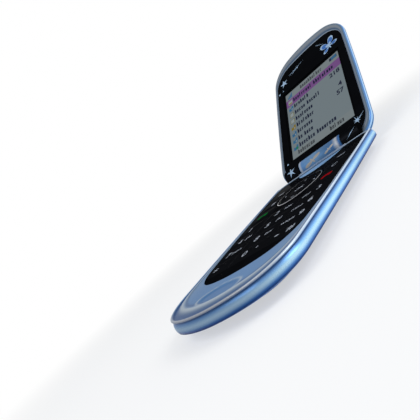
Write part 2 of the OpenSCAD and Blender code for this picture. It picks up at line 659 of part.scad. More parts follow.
module lid_flex() color("#c98a3a") on_lid() {
    along_x(-corner_x + 1.2, -knuckle_x - 1.5, 1.1);
    translate([-corner_x + 1.2, 0.4, lid_board_z + 0.01]) cube([2.4, 0.15, -0.8 - lid_board_z]);
    translate([-corner_x + 1.2, 0.4, lid_board_z + 0.01]) cube([2.4, screen_y - 3.8, 0.15]);
}

base_lower_shell();
base_upper_shell();
keypad_plate();
nav_trim();
keymat();
dome_sheet();
main_board();
shield_can();
battery();
battery_cover();
battery_contacts();
sim_holder();
sim_card();
antenna();
microphone();
loudspeaker();
vibration_motor();
data_connector();
base_screws();
hinge_cover();
hinge_cartridge();
hinge_bush();
base_flex();
volume_rocker();
key_1();
key_2();
key_3();
key_4();
key_5();
key_6();
key_7();
key_8();
key_9();
key_star();
key_0();
key_hash();
soft_key_left();
soft_key_right();
menu_key();
clear_key();
call_key();
end_key();
ok_key();
nav_web();
nav_ring();
lid_inner_shell();
lid_outer_shell();
lid_knuckles();
display_window();
display_module();
lid_board();
earpiece();
outer_window();
outer_display();
camera_module();
camera_bezel();
lid_screws();
lid_flex();
hinge_shaft();
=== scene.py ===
import bpy
import bmesh
import json
import math
import numpy as np
from mathutils import Matrix, Vector


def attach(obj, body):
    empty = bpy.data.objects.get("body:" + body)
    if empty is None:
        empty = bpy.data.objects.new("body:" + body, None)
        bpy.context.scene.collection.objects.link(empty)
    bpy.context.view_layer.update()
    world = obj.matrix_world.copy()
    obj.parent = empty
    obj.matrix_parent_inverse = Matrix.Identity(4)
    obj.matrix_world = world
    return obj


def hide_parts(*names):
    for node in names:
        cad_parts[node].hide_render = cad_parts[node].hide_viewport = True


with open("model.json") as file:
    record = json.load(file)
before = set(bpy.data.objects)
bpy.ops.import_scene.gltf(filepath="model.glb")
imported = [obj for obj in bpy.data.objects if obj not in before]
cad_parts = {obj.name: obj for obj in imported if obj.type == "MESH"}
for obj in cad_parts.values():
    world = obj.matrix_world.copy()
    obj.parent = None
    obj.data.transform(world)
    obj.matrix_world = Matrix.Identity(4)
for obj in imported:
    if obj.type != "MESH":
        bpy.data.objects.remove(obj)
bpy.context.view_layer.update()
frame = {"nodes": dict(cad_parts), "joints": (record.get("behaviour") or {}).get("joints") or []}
print("frame loaded:", len(frame["nodes"]), "nodes")

mm = 0.001

# The lid's hinge gives the places of both halves: the base's own y counts from the hinge axis, and the
# lid's own frame is x, the distance from that axis and the height off the display, all in millimetres.
lidHinge = next(joint for joint in frame["joints"] if joint["name"] == "lid_hinge")
hingeY, hingeZ = (round(place / mm, 4) for place in lidHinge["pos_m"][1:])
fold = math.radians(180 - lidHinge["range_deg"][1])


cameraSet = {"place": (69.6, -95.31, 25.84), "azimuth": 127.273, "elevation": -4.523, "roll": -39.251,
             "lens": 32.362, "sensor": 36, "shift": (-0.11338, -0.04867), "nearest": 2}


def placeCamera(s):
    # The look direction comes from azimuth and elevation, and roll turns the picture round it: right is
    # level times cos roll plus rise times sin roll.
    a, e, r = (math.radians(s[key]) for key in ("azimuth", "elevation", "roll"))
    look = Vector((math.cos(e) * math.cos(a), math.cos(e) * math.sin(a), math.sin(e)))
    level = look.cross(Vector((0, 0, 1))).normalized()
    rise = level.cross(look)
    right = level * math.cos(r) + rise * math.sin(r)
    up = right.cross(look)
    data = bpy.data.cameras.new("camera")
    data.sensor_width = s["sensor"]
    data.lens = s["lens"]
    data.shift_x, data.shift_y = s["shift"]
    data.clip_start = s["nearest"] * mm
    camera = bpy.data.objects.new("camera", data)
    camera.matrix_world = Matrix((
        (right.x, up.x, -look.x, s["place"][0] * mm),
        (right.y, up.y, -look.y, s["place"][1] * mm),
        (right.z, up.z, -look.z, s["place"][2] * mm),
        (0, 0, 0, 1)))
    bpy.context.scene.collection.objects.link(camera)
    bpy.context.scene.camera = camera


placeCamera(cameraSet)
print("camera placed")


def toLinear(hexColour):
    # sRGB hex to linear: a power of 2.4 above the short straight part.
    parts = [int(hexColour[i:i + 2], 16) / 255 for i in (1, 3, 5)]
    return tuple(c / 12.92 if c <= 0.04045 else ((c + 0.055) / 1.055) ** 2.4 for c in parts) + (1.0,)


def addNode(tree, kind, values=None, links=None, **settings):
    # One node with its settings, the values on its sockets and the links into them.
    node = tree.nodes.new(kind)
    for name, value in settings.items():
        setattr(node, name, value)
    for socket, value in (values or {}).items():
        node.inputs[socket].default_value = value
    for socket, source in (links or {}).items():
        tree.links.new(source, node.inputs[socket])
    return node


def newMaterial(name, values):
    # A principled surface with its plain values set on its own sockets.
    material = bpy.data.materials.new(name)
    material.use_nodes = True
    tree = material.node_tree
    tree.nodes.clear()
    shader = addNode(tree, "ShaderNodeBsdfPrincipled", values)
    addNode(tree, "ShaderNodeOutputMaterial", links={"Surface": shader.outputs[0]})
    return material, tree, shader


# Sizes of the patterns in millimetres. Flakes and moulded grain are really 0.02 to 0.05 mm, too fine to
# show from arm's length, so both are drawn coarser. Gloss is the orange peel of a hard lacquer, display is
# a little over the 0.2 mm of its dots, and clouds are the slow unevenness of a coat.
patternSize = {"flake": 1 / 9, "gloss": 1 / 3, "moulded": 0.4, "display": 0.25, "cloud": 50 / 9,
               "lacquerCloud": 50 / 3}
noiseRange = {"From Min": 0.3, "From Max": 0.7}     # where nearly all of a noise's values lie


def objectNoise(tree, size):
    # Noise on Object coordinates in cells of size millimetres: its scale is one over that size in metres.
    place = addNode(tree, "ShaderNodeTexCoord")
    noise = addNode(tree, "ShaderNodeTexNoise", {"Scale": 1 / (size * mm), "Detail": 2.0},
                    {"Vector": place.outputs["Object"]})
    return noise.outputs["Fac"]


def addGrain(tree, shader, size, roughness, relief=0.0, depth=0.02):
    # Roughness wanders from its low to its high value over grains of size millimetres, and the same grains
    # stand up by the share relief of depth millimetres.
    noise = objectNoise(tree, size)
    spread = addNode(tree, "ShaderNodeMapRange",
                     {**noiseRange, "To Min": roughness[0], "To Max": roughness[1]}, {"Value": noise})
    tree.links.new(spread.outputs[0], shader.inputs["Roughness"])
    if relief:
        raised = addNode(tree, "ShaderNodeBump", {"Strength": relief, "Distance": depth * mm},
                         {"Height": noise})
        tree.links.new(raised.outputs[0], shader.inputs["Normal"])


def tintedLacquer(name, metallic, roughness, coat):
    # Metallic lacquer sprayed over moulded plastic: the colour is the shell's own colour attribute, the
    # lacquer's blue with painted highlights and painted shade in it, times 0.94 to 1.06 in slow clouds.
    material, tree, shader = newMaterial(name, {
        "Metallic": metallic, "Coat Weight": coat, "Coat Roughness": 0.08,
        "Specular IOR Level": 0.12, "Specular Tint": toLinear("#7c95bc")})
    tintWithPaintedLight = addNode(tree, "ShaderNodeAttribute", attribute_name="tintWithPaintedLight")
    value = addNode(tree, "ShaderNodeMapRange", {**noiseRange, "To Min": 0.94, "To Max": 1.06},
                    {"Value": objectNoise(tree, patternSize["lacquerCloud"])})
    colour = addNode(tree, "ShaderNodeHueSaturation",
                     links={"Color": tintWithPaintedLight.outputs["Color"], "Value": value.outputs[0]})
    tree.links.new(colour.outputs[0], shader.inputs["Base Color"])
    addGrain(tree, shader, patternSize["flake"], roughness, relief=0.05, depth=0.01)
    return material


def plainFinish(name, colour, metallic, roughness, grain="moulded", relief=0.05, sockets=None):
    # One colour that runs from 0.92 to 1.06 of itself in slow clouds, with a fine grain over it.
    material, tree, shader = newMaterial(name, {"Metallic": metallic, **(sockets or {})})
    base = np.array(toLinear(colour)[:3])
    ramp = addNode(tree, "ShaderNodeValToRGB", links={"Fac": objectNoise(tree, patternSize["cloud"])})
    for stop, place, share in zip(ramp.color_ramp.elements, (0.35, 0.65), (0.92, 1.06)):
        stop.position = place
        stop.color = (*np.minimum(1, base * share).tolist(), 1)
    tree.links.new(ramp.outputs["Color"], shader.inputs["Base Color"])
    addGrain(tree, shader, patternSize[grain], roughness, relief)
    return material


# No mirror of its own at a low angle, as on ink or lacquer that is seen through clear plastic
noGlare = {"Specular Tint": toLinear("#000000"), "Specular IOR Level": 0.0}

# Clear-coated metallic lacquer on moulded ABS: a soft wide highlight, broken up by its flakes
pearlBlue = tintedLacquer("pearlBlueLacquer", 0.3, (0.24, 0.34), 0.05)
# The same lacquer without its clear coat: duller, with a broader sheen
satinBlue = tintedLacquer("satinBlueLacquer", 0.25, (0.34, 0.44), 0.0)
# Black lacquer behind moulded acrylic: a dark, nearly sharp mirror that fades out at a low angle
blackGloss = plainFinish("blackLacquer", "#101114", 0.4, (0.1, 0.16), "gloss", 0.03, noGlare)
# The keys' lacquered polycarbonate: the same black, a little greyer and less sharp from wear
keyGloss = plainFinish("blackKeyLacquer", "#141518", 0.3, (0.16, 0.24), "gloss", 0.03, noGlare)
# Chromed ABS: a bright line that picks up the whole room
silverTrim = plainFinish("brightChrome", "#8d9096", 1.0, (0.2, 0.3))
# Turned and pressed steel: grey, with a blurred reflection
steel = plainFinish("turnedSteel", "#9b9fa6", 1.0, (0.25, 0.38))
print("paints mixed")


def meshPiece(name, points, faces, materials, body, smooth=True, sharpAngle=38.0, slots=None):
    # Points are (n, 3) in millimetres and faces a list of index rows; an edge that turns by more than
    # sharpAngle degrees stays hard.
    mesh = bpy.data.meshes.new(name)
    mesh.from_pydata((points * mm).tolist(), [], faces)
    for material in materials:
        mesh.materials.append(material)
    if slots is not None:
        mesh.polygons.foreach_set("material_index", np.asarray(slots, np.int32))
    mesh.polygons.foreach_set("use_smooth", np.full(len(mesh.polygons), smooth))
    if smooth:
        mesh.set_sharp_from_angle(angle=math.radians(sharpAngle))
    mesh.update()
    piece = bpy.data.objects.new(name, mesh)
    bpy.context.scene.collection.objects.link(piece)
    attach(piece, body)
    return piece


def outwards(piece):
    # Turns every face to point out of its solid.
    work = bmesh.new()
    work.from_mesh(piece.data)
    bmesh.ops.remove_doubles(work, verts=work.verts, dist=1e-7)
    bmesh.ops.recalc_face_normals(work, faces=work.faces)
    work.to_mesh(piece.data)
    work.free()
    return piece


def tintRow(colours):
    # sRGB hex colours as a linear array, one row each.
    return np.array([toLinear(c) for c in colours])


def readSection(rows):
    # Rows of places and colours as one array for each column, the colours made linear.
    return [tintRow(column) if isinstance(column[0], str) else np.array(column, float)
            for column in zip(*rows)]


def setTint(piece, colours):
    # Writes the lacquer's colour with any painted highlights and shade: one for each vertex, or one hex
    # colour for all.
    count = len(piece.data.vertices)
    rows = np.tile(toLinear(colours), (count, 1)) if isinstance(colours, str) else colours
    layer = piece.data.attributes.new("tintWithPaintedLight", "FLOAT_COLOR", "POINT")
    layer.data.foreach_set("color", rows.astype(np.float32).ravel())


def vertexPlaces(piece):
    # The piece's points in millimetres.
    co = np.zeros(len(piece.data.vertices) * 3)
    piece.data.vertices.foreach_get("co", co)
    return co.reshape(-1, 3) / mm


def blendTint(places, stops, tints):
    # Each of the places gets the colour that lies between those of its two neighbouring stops.
    return np.stack([np.interp(places, stops, channel) for channel in tints.T], -1)


def gridFaces(rows, columns, wrap=False):
    # Quads between neighbouring rows of a grid; wrap joins the last column to the first.
    j = np.arange(columns if wrap else columns - 1)
    i = np.arange(rows - 1)[:, None]
    a = i * columns + j
    b = i * columns + (j + 1) % columns
    return np.stack([a, b, b + columns, a + columns], -1).reshape(-1, 4).tolist()


def edgeLoop(rows, columns):
    # The grid's points along its edge, once round.
    index = np.arange(rows * columns).reshape(rows, columns)
    return np.concatenate([index[0], index[1:, -1], index[-1, -2::-1], index[-2:0:-1, 0]])


def loft(rings, capped=False, looped=False):
    # Joins rings (rows, columns, 3) by quads. Capped puts a face over each end, and looped joins the last
    # ring to the first.
    rows, columns = rings.shape[:2]
    faces = gridFaces(rows, columns, True)
    first = np.arange(columns)
    last = first + (rows - 1) * columns
    if capped:
        faces += [first[::-1].tolist(), last.tolist()]
    if looped:
        faces += np.stack([last, np.roll(last, -1), np.roll(first, -1), first], -1).tolist()
    return rings.reshape(-1, 3), faces


def joinParts(parts):
    # Several (points, faces) pairs as one.
    starts = np.cumsum([0] + [len(points) for points, _ in parts[:-1]]).tolist()
    faces = [[v + start for v in face] for (_, own), start in zip(parts, starts) for face in own]
    return np.concatenate([points for points, _ in parts]), faces


def atHeight(flat, heights):
    # Flat points (..., 2) lifted to a height, which is one number for all of them or one for each ring.
    z = np.broadcast_to(np.asarray(heights, float)[..., None], flat.shape[:-1])
    return np.concatenate([flat, z[..., None]], -1)


def onBase(points):
    # From the base's own y to the phone's.
    return points + np.array([0, hingeY, 0])


def onHinge(points):
    # From places round the hinge axis to the phone's.
    return points + np.array([0, hingeY, hingeZ])


def onLid(points):
    # From the lid's own frame to the phone's: distance v and height z are turned up by the fold angle.
    x, v, z = np.moveaxis(np.asarray(points, float), -1, 0)
    c, s = math.cos(fold), math.sin(fold)
    return np.stack([x, hingeY + v * c - z * s, hingeZ + v * s + z * c], -1)


def ease(t):
    # Smooth step from 0 to 1: t squared times (3 - 2t).
    t = np.clip(t, 0, 1)
    return t * t * (3 - 2 * t)


def mix(a, b, share):
    # Share 0 gives a, and share 1 gives b.
    return a + (b - a) * share


def bell(x, middle, width):
    # A bump of height 1: e to the power of minus (distance from the middle over width) squared.
    return np.exp(-((x - middle) / width) ** 2)


def circle(steps):
    # Directions once round, as (steps, 2).
    a = np.linspace(0, 2 * math.pi, steps, endpoint=False)
    return np.stack([np.cos(a), np.sin(a)], -1)


def towardsMiddle(ring, shares, low, high):
    # The ring drawn in towards the middle line between low and high, once for each of the shares.
    goal = np.stack([np.zeros(len(ring)), np.clip(ring[:, 1], low, high)], -1)
    return mix(ring, goal, np.array(shares)[:, None, None])


def crossPoint(a, ra, b, rb):
    # Where a circle round a and one round b cross, on the left of the way from a to b.
    d = np.linalg.norm(b - a)
    u = (b - a) / d
    along = (ra * ra - rb * rb + d * d) / (2 * d)
    return a + along * u + math.sqrt(ra * ra - along * along) * np.array([-u[1], u[0]])


# Outlines in the base's own y: full width, how far the tip reaches from the hinge, the radii of the tip, of
# its two corners and of the bowed sides, then where the straight end stands and its two corners' radius
baseShape = {"width": 49.4, "reach": 93.7, "tip": 38, "corner": 16, "bow": 1400, "end": 4, "endCorner": 11}
lidShape = {**baseShape, "reach": 80, "tip": 50}
keypadShape = {"width": 46, "reach": 78.8, "tip": 40, "corner": 13, "bow": 430, "end": -5.4, "endCorner": 4}
windowShape = {**lidShape, "width": 45.4, "reach": 72.9, "tip": 85, "corner": 11.8, "end": 2}
widestAt = -15      # where all four are widest
arcSteps = {"tip": 34, "corner": 26, "bow": 44, "endCorner": 32, "straight": 20}


def roundOutline(s):
    # One side is four arcs that run on into each other and half the straight end, and the other mirrors it.
    # A point is its arc's centre plus (radius - inset) times its direction, so an inset moves it square to
    # the edge.
    tipC = np.array([0, s["tip"] - s["reach"]])
    bowC = np.array([s["width"] / 2 - s["bow"], widestAt])
    cornerC = crossPoint(tipC, s["tip"] - s["corner"], bowC, s["bow"] - s["corner"])
    endY = s["end"] - s["endCorner"]
    endX = bowC[0] + math.sqrt((s["bow"] - s["endCorner"]) ** 2 - (endY - widestAt) ** 2)
    endC = np.array([endX, endY])
    joins = [math.atan2(way[1], way[0]) for way in (cornerC - tipC, cornerC - bowC, endC - bowC)]
    limits = [-math.pi / 2, *joins, math.pi / 2]
    arcs = {"tip": tipC, "corner": cornerC, "bow": bowC, "endCorner": endC}
    centres, radii, turns = [], [], []
    for k, (name, centre) in enumerate(arcs.items()):
        turns.append(np.linspace(limits[k], limits[k + 1], arcSteps[name], endpoint=False))
        centres.append(np.tile(centre, (arcSteps[name], 1)))
        radii.append(np.full(arcSteps[name], float(s[name])))
    straight = np.linspace(endX, 0, arcSteps["straight"] + 1)
    centres.append(atHeight(straight[:, None], s["end"]))
    radii.append(np.zeros(len(straight)))
    turns.append(np.full(len(straight), math.pi / 2))
    centres, radii, turns = (np.concatenate(rows) for rows in (centres, radii, turns))
    directions = np.stack([np.cos(turns), np.sin(turns)], -1)
    mirror = np.array([-1, 1])
    return (np.concatenate([centres, (centres * mirror)[-2:0:-1]]), np.concatenate([radii, radii[-2:0:-1]]),
            np.concatenate([directions, (directions * mirror)[-2:0:-1]]))


def ringAt(outline, inset):
    # The outline drawn in by inset, which may be one number or one for each ring.
    centres, radii, directions = outline
    return centres + (radii - np.asarray(inset))[..., None] * directions


baseOutline, keypadOutline, lidOutline, windowOutline = (
    roundOutline(shape) for shape in (baseShape, keypadShape, lidShape, windowShape))


upperShell = {
    # [inset, height, colour on the sides, colour round the chin] from the parting line over the side band,
    # the groove and the crest to the inner groove; the pale band and crest are painted highlights, the dark
    # groove is painted shade, and the chin's darker colours are painted shade
    "section": [(1.2, 3.42, "#2c4a7c", "#1c3050"), (0.3, 3.42, "#2c4a7c", "#1c3050"),
                (0.13, 3.5, "#2f559a", "#14386c"), (0.05, 3.72, "#3c69ad", "#17407a"),
                (0.01, 4.0, "#5789cb", "#36598a"), (0.0, 4.3, "#8fc0ee", "#5f7da0"),
                (0.02, 4.65, "#bde8fe", "#7b94ac"), (0.09, 5.0, "#c4ecfe", "#829bb2"),
                (0.2, 5.32, "#9dd2fc", "#7591ab"), (0.36, 5.6, "#7cb2ec", "#6280a4"),
                (0.54, 5.82, "#6492cf", "#4f739c"), (0.68, 5.98, "#4d74a8", "#426490"),
                (0.74, 6.12, "#365382", "#37577f"), (0.7, 6.26, "#2d4979", "#34527b"),
                (0.58, 6.38, "#3d5c8c", "#38547c"), (0.46, 6.52, "#86a3c6", "#536484"),
                (0.41, 6.68, "#bed3e8", "#7a7f8b"), (0.46, 6.84, "#d4e3f2", "#8f9299"),
                (0.6, 6.95, "#dbe8f4", "#9a9ca0"), (0.78, 7.0, "#d2e0ee", "#9c9da1"),
                (0.96, 6.97, "#a8bdd3", "#838a94"), (1.12, 6.88, "#5c789c", "#4a6282"),
                (1.25, 6.74, "#38557f", "#2f4f78"), (1.34, 6.6, "#2e4b78", "#28466e"),
                (1.42, 6.52, "#3d5a86", "#2f5078")],
    "satinRows": 3,                                 # rows of the section, counted from its end, in satin
    # [sides, chin] of the inner ridge's pale line, a painted highlight, of the field inside it and of the
    # painted shade at the ridge's foot
    "ridgeHighlight": ("#a3adb5", "#a3aeb5"), "field": ("#64809f", "#4f78a3"), "shade": ("#54697f", "#355a86"),
    "chinFrom": -78, "chinFull": -92.5,             # where the chin's darker colours, painted shade, begin and are complete
    "frontCut": -3.85, "endRun": 3.0, "endTop": 6.45,       # the shell's end, which dips before the barrel
    "sideTop": 6.7, "ridgeTop": 6.88, "fieldTop": 6.62, "fieldSink": 0.03,
    "ridgeReach": 3.4, "ridgeShareMost": 0.62, "ridgeWidth": 0.75,
    "narrowGap": 0.6, "gapRun": 3.0, "leastGap": 0.1,       # gaps between rim and keypad: none, full, divisor
    "outerRows": 8, "innerRows": 26, "innerBunch": 1.25,
    "shadeAt": 1.5, "shadeWidth": 0.6,
    "dimple": {"centre": (0, -85.2), "radii": (8.2, 2.9), "depth": 0.3, "flat": 0.72, "wall": 0.28},
    # round the dimple, in shares of its radii: a raised rim, a pale line on it that is a painted highlight,
    # and a darker inside that is painted shade
    "dimpleRim": {"rise": 0.07, "at": 1.06, "width": 0.07},
    "dimpleLine": {"at": 1.04, "width": 0.06, "pale": 0.8, "within": 0.9, "dark": 0.35},
    # down into the keypad's opening, dark with painted shade: steps across and the heights, the first a drop
    # from the top
    "lipShade": "#3a4a5c", "lipSteps": (0.03, 0.04, 0.04), "lipDrop": 0.05, "lipMiddle": 6.2, "plateTop": 5.72,
}


def buildUpperShell(s):
    # Side rows follow the section round the outline. Top rows run straight from the inner groove to the
    # keypad's edge: they ease up to the inner ridge and fall to the field as a bell curve of the way from
    # it. The oval dimple sinks by its depth inside and eases out over its wall.
    insets, heights, sideTint, chinShadedTint = readSection(s["section"])
    sideXY = ringAt(baseOutline, insets[:, None])
    n = sideXY.shape[1]
    chinShare = ease((s["chinFrom"] - sideXY[0, :, 1]) / (s["chinFrom"] - s["chinFull"]))[:, None]
    nearEnd = ease((sideXY[..., 1] - s["frontCut"] + s["endRun"]) / s["endRun"])
    level = heights[:, None]
    sideZ = np.where(level > s["endTop"], mix(level, s["endTop"], nearEnd), level)
    side = np.stack([sideXY[..., 0], np.minimum(sideXY[..., 1], s["frontCut"]), sideZ], -1)
    # Round the chin the side colours give way to darker ones, painted shade.
    sideColours = mix(sideTint[:, None], chinShadedTint[:, None], chinShare)

    start, goal = side[-1, :, :2], ringAt(keypadOutline, 0)
    gap = np.linalg.norm(goal - start, axis=1)
    chin = ease((gap - s["narrowGap"]) / s["gapRun"])
    ridgeShare = np.minimum(s["ridgeReach"] / np.maximum(gap, s["leastGap"]), s["ridgeShareMost"])
    ridgeZ = mix(s["sideTop"], s["ridgeTop"], chin)
    fieldZ = mix(s["sideTop"] - s["fieldSink"], s["fieldTop"], chin)
    outer = np.linspace(0, 1, s["outerRows"] + 1)[1:, None]
    inner = np.linspace(0, 1, s["innerRows"] + 1)[1:, None] ** s["innerBunch"]
    off = inner * (1 - ridgeShare) * gap            # distance from the ridge in millimetres
    fall = bell(off, 0, s["ridgeWidth"])
    topXY = mix(start, goal, np.concatenate([outer * ridgeShare, mix(ridgeShare, 1, inner)])[..., None])
    topZ = np.concatenate([mix(sideZ[-1], ridgeZ, ease(outer)), mix(fieldZ, ridgeZ, fall)])

    dimple, rim, line = s["dimple"], s["dimpleRim"], s["dimpleLine"]
    q = np.linalg.norm((topXY - dimple["centre"]) / dimple["radii"], axis=-1)
    topZ = topZ - dimple["depth"] * (1 - ease((q - dimple["flat"]) / dimple["wall"])) * chin
    topZ = topZ + rim["rise"] * bell(q, rim["at"], rim["width"]) * chin

    # The inner ridge's pale colour is a painted highlight, and the darker band at its foot is painted shade.
    ridgeHighlight, field, shade = (mix(*tintRow(s[key]), chinShare) for key in ("ridgeHighlight", "field", "shade"))
    dark = bell(off, s["shadeAt"], s["shadeWidth"])[..., None] * chin[:, None]
    topOuter = mix(sideColours[-1], ridgeHighlight, (ease(outer) ** 3)[..., None])
    topInner = mix(field, ridgeHighlight, fall[..., None]) + (shade - field) * dark
    topColours = np.concatenate([topOuter, topInner])
    # A painted highlight along the dimple's rim, and painted shade inside the dimple.
    pale = (bell(q, line["at"], line["width"]) * chin)[..., None] * line["pale"]
    dimpleShade = ((q < line["within"]) * chin)[..., None] * line["dark"]
    topColours = topColours + (ridgeHighlight - topColours) * pale + (shade - topColours) * dimpleShade

    across = (goal - start) / np.maximum(gap, s["leastGap"])[:, None]
    lipXY = topXY[-1] + across * np.array(s["lipSteps"])[:, None, None]
    lipZ = np.stack([topZ[-1] - s["lipDrop"], np.full(n, s["lipMiddle"]), np.full(n, s["plateTop"])])
    top = np.concatenate([np.concatenate([topXY, lipXY]), np.concatenate([topZ, lipZ])[..., None]], -1)
    # The wall down into the opening is coloured dark as painted shade.
    lipColours = np.tile(toLinear(s["lipShade"]), (len(lipZ), n, 1))

    rings = np.concatenate([side, top])
    points, faces = loft(onBase(rings), looped=True)
    satin = np.arange(len(rings)) >= len(insets) - s["satinRows"]
    satin[-1] = False                               # the wall round the keypad's opening
    piece = meshPiece("upper_shell", points, faces, [pearlBlue, satinBlue], "base", slots=np.repeat(satin, n))
    setTint(piece, np.clip(np.concatenate([sideColours, topColours, lipColours]), 0, 1))
    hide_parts("base_upper_shell")


buildUpperShell(upperShell)


tongue = {
    "radius": 12.7, "centreY": -1.1, "back": -3.72, "leastReach": 0.02, "columns": 121, "foot": 5.7,
    # [distance in front of the barrel, height, colour]: a pale edge that is a painted highlight, a dark step
    # down with painted shade, and a light lip
    "profile": [(0.0, 5.6, "#3a5a86"), (0.0, 6.95, "#b9bfc6"), (0.12, 7.02, "#c9cdd2"),
                (0.32, 7.0, "#aeb8c4"), (0.5, 6.86, "#3f618d"), (0.9, 6.6, "#35557f"),
                (1.3, 6.44, "#3a5c88"), (1.9, 6.42, "#4a709d"), (2.6, 6.5, "#6f97c2"),
                (3.6, 6.6, "#7fa6cf"), (5.2, 6.62, "#7aa1ca")],
    # rows between the profile's end and the arc, as distances where the tongue is longest
    "tipRows": (6.5, 7.8, 8.8, 9.3, 9.6, 9.8, 9.98, 9.98),
    # [share of the way to the arc, how far the surface has dropped]
    "edgeDrop": [(0.0, 0.0), (0.93, 0.0), (0.97, 0.08), (0.99, 0.2), (1.0, 0.9)],
}


def buildTongue(s):
    # Columns are spread along x and each runs from the barrel to the tongue's arc. Height and colour follow
    # the profile by the distance from the barrel, and the last share of the way drops to the keypad plate.
    half = math.sqrt(s["radius"] ** 2 - (s["back"] - s["centreY"]) ** 2)
    x = np.linspace(-half, half, s["columns"])
    arcY = s["centreY"] - np.sqrt(np.maximum(s["radius"] ** 2 - x ** 2, 0))
    reach = np.maximum(s["back"] - arcY, s["leastReach"])
    places, heights, tints = readSection(s["profile"])
    tipRows = np.array(s["tipRows"])
    away = np.concatenate([np.minimum(places[:, None], reach), reach * (tipRows / tipRows[-1])[:, None]])
    away = np.maximum.accumulate(away, 0)
    shares, drops = np.array(s["edgeDrop"]).T
    z = np.interp(away, places[1:], heights[1:]) - np.interp(away / reach, shares, drops)
    z[0] = heights[0]
    z[-1] = s["foot"]
    top = np.stack([np.broadcast_to(x, z.shape), s["back"] - away, z], -1).reshape(-1, 3)
    faces = gridFaces(*z.shape) + [edgeLoop(*z.shape)[::-1].tolist()]
    piece = meshPiece("hinge_tongue", onBase(top), faces, [satinBlue], "base")
    setTint(piece, blendTint(away, places[1:], tints[1:]))
    outwards(piece)


buildTongue(tongue)

cradle = {
    "halfLength": 11.0, "colour": "#41669a", "front": (-3.86, 6.3),
    "hollow": {"radius": 3.66, "from": 194, "to": 330, "steps": 18},        # round the barrel, in degrees
    "back": [(3.65, 5.3), (3.9, 4.4), (3.78, 3.42), (-3.86, 3.42)],        # [y, height] down and under it
}


def buildCradle(s):
    # A section in the y-z plane, hollowed by an arc round the barrel, is carried along x.
    hollow = s["hollow"]
    a = np.radians(np.linspace(hollow["from"], hollow["to"], hollow["steps"]))
    arc = np.stack([hollow["radius"] * np.cos(a), hingeZ + hollow["radius"] * np.sin(a)], -1)
    section = np.concatenate([[s["front"]], arc, s["back"]])
    ends = np.array([-s["halfLength"], s["halfLength"]])[:, None, None]
    rings = np.concatenate([np.broadcast_to(ends, (2, len(section), 1)), np.stack([section] * 2)], -1)
    points, faces = loft(onBase(rings), capped=True)
    piece = outwards(meshPiece("hinge_cradle", points, faces, [satinBlue], "base"))
    setTint(piece, s["colour"])


buildCradle(cradle)
print("base upper shell built")


underside = {
    # [inset, height, colour] from the parting line down to the battery cover; the flank is lightest in its
    # middle and darker above and below it, painted light and shade of its curve
    "section": [(0.6, 3.38, "#23406f"), (0.13, 3.38, "#23406f"), (0.2, 3.28, "#2c4f88"),
                (0.42, 3.14, "#3a63a2"), (0.8, 2.98, "#4a76b6"), (1.4, 2.74, "#5580bd"),
                (2.2, 2.48, "#5a86c0"), (3.3, 2.12, "#5a86c0"), (4.6, 1.71, "#5783bd"),
                (6.0, 1.28, "#527db8"), (6.6, 1.2, "#3a63a2")],
    "wall": 0.12, "coverWall": 0.02,                # thickness, and what is left of it at the cover
}


def buildUnderside(s):
    # The section is drawn round the outline, and the same rings come back higher up as its inner side.
    insets, heights, tints = readSection(s["section"])
    rings = atHeight(ringAt(baseOutline, insets[:, None]), heights)
    inner = rings[::-1] + np.array([0, 0, s["wall"]])
    inner[0, :, 2] -= s["wall"] - s["coverWall"]
    points, faces = loft(onBase(np.concatenate([rings, inner])))
    piece = outwards(meshPiece("lower_flank", points, faces, [satinBlue], "base"))
    setTint(piece, blendTint(vertexPlaces(piece)[:, 2], heights[::-1], tints[::-1]))


batteryDoor = {
    # [inset, height] from the upper face over the flank to the flat underside
    "section": [(6.6, 1.09), (6.62, 1.0), (7.3, 0.79), (8.1, 0.56), (8.7, 0.42), (9.3, 0.26), (9.9, 0.13),
                (10.4, 0.04), (11.0, 0.005), (12.5, 0.0)],
    "upperEnd": -16.05, "middle": (-70, -30), "colour": "#5a86c0",
    "insideShares": (1.0, 0.5), "flatShares": (0.25, 0.5, 0.75, 1.0),
}


def buildBatteryDoor(s):
    # Rings go from the middle line out along the upper face, over the curved flank, and in along the flat
    # underside to the middle line again.
    insets, heights = readSection(s["section"])
    flank = ringAt(baseOutline, insets[:, None])
    flank[..., 1] = np.minimum(flank[..., 1], s["upperEnd"])
    above = towardsMiddle(flank[0], s["insideShares"], *s["middle"])
    below = towardsMiddle(flank[-1], s["flatShares"], *s["middle"])
    rings = np.concatenate([atHeight(above, heights[0]), atHeight(flank, heights), atHeight(below, 0)])
    points, faces = loft(onBase(rings))
    piece = outwards(meshPiece("battery_door", points, faces, [satinBlue], "battery_cover", sharpAngle=30))
    setTint(piece, s["colour"])
    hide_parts("battery_cover")


buildUnderside(underside)
buildBatteryDoor(batteryDoor)
print("underside built")


towardsTip = np.array([1, -1])      # the outlines' y runs towards the hinge, and the lid's v away from it
corner = {"x": 19.5, "from": 9, "lowerEnd": 3.9, "radius": 3.6, "leastSquare": 0.01}


def lidRing(outline, inset):
    # The outline drawn in by inset, in the lid's own x and v.
    return ringAt(outline, inset) * towardsTip


lidEdge = lidRing(lidOutline, 0)


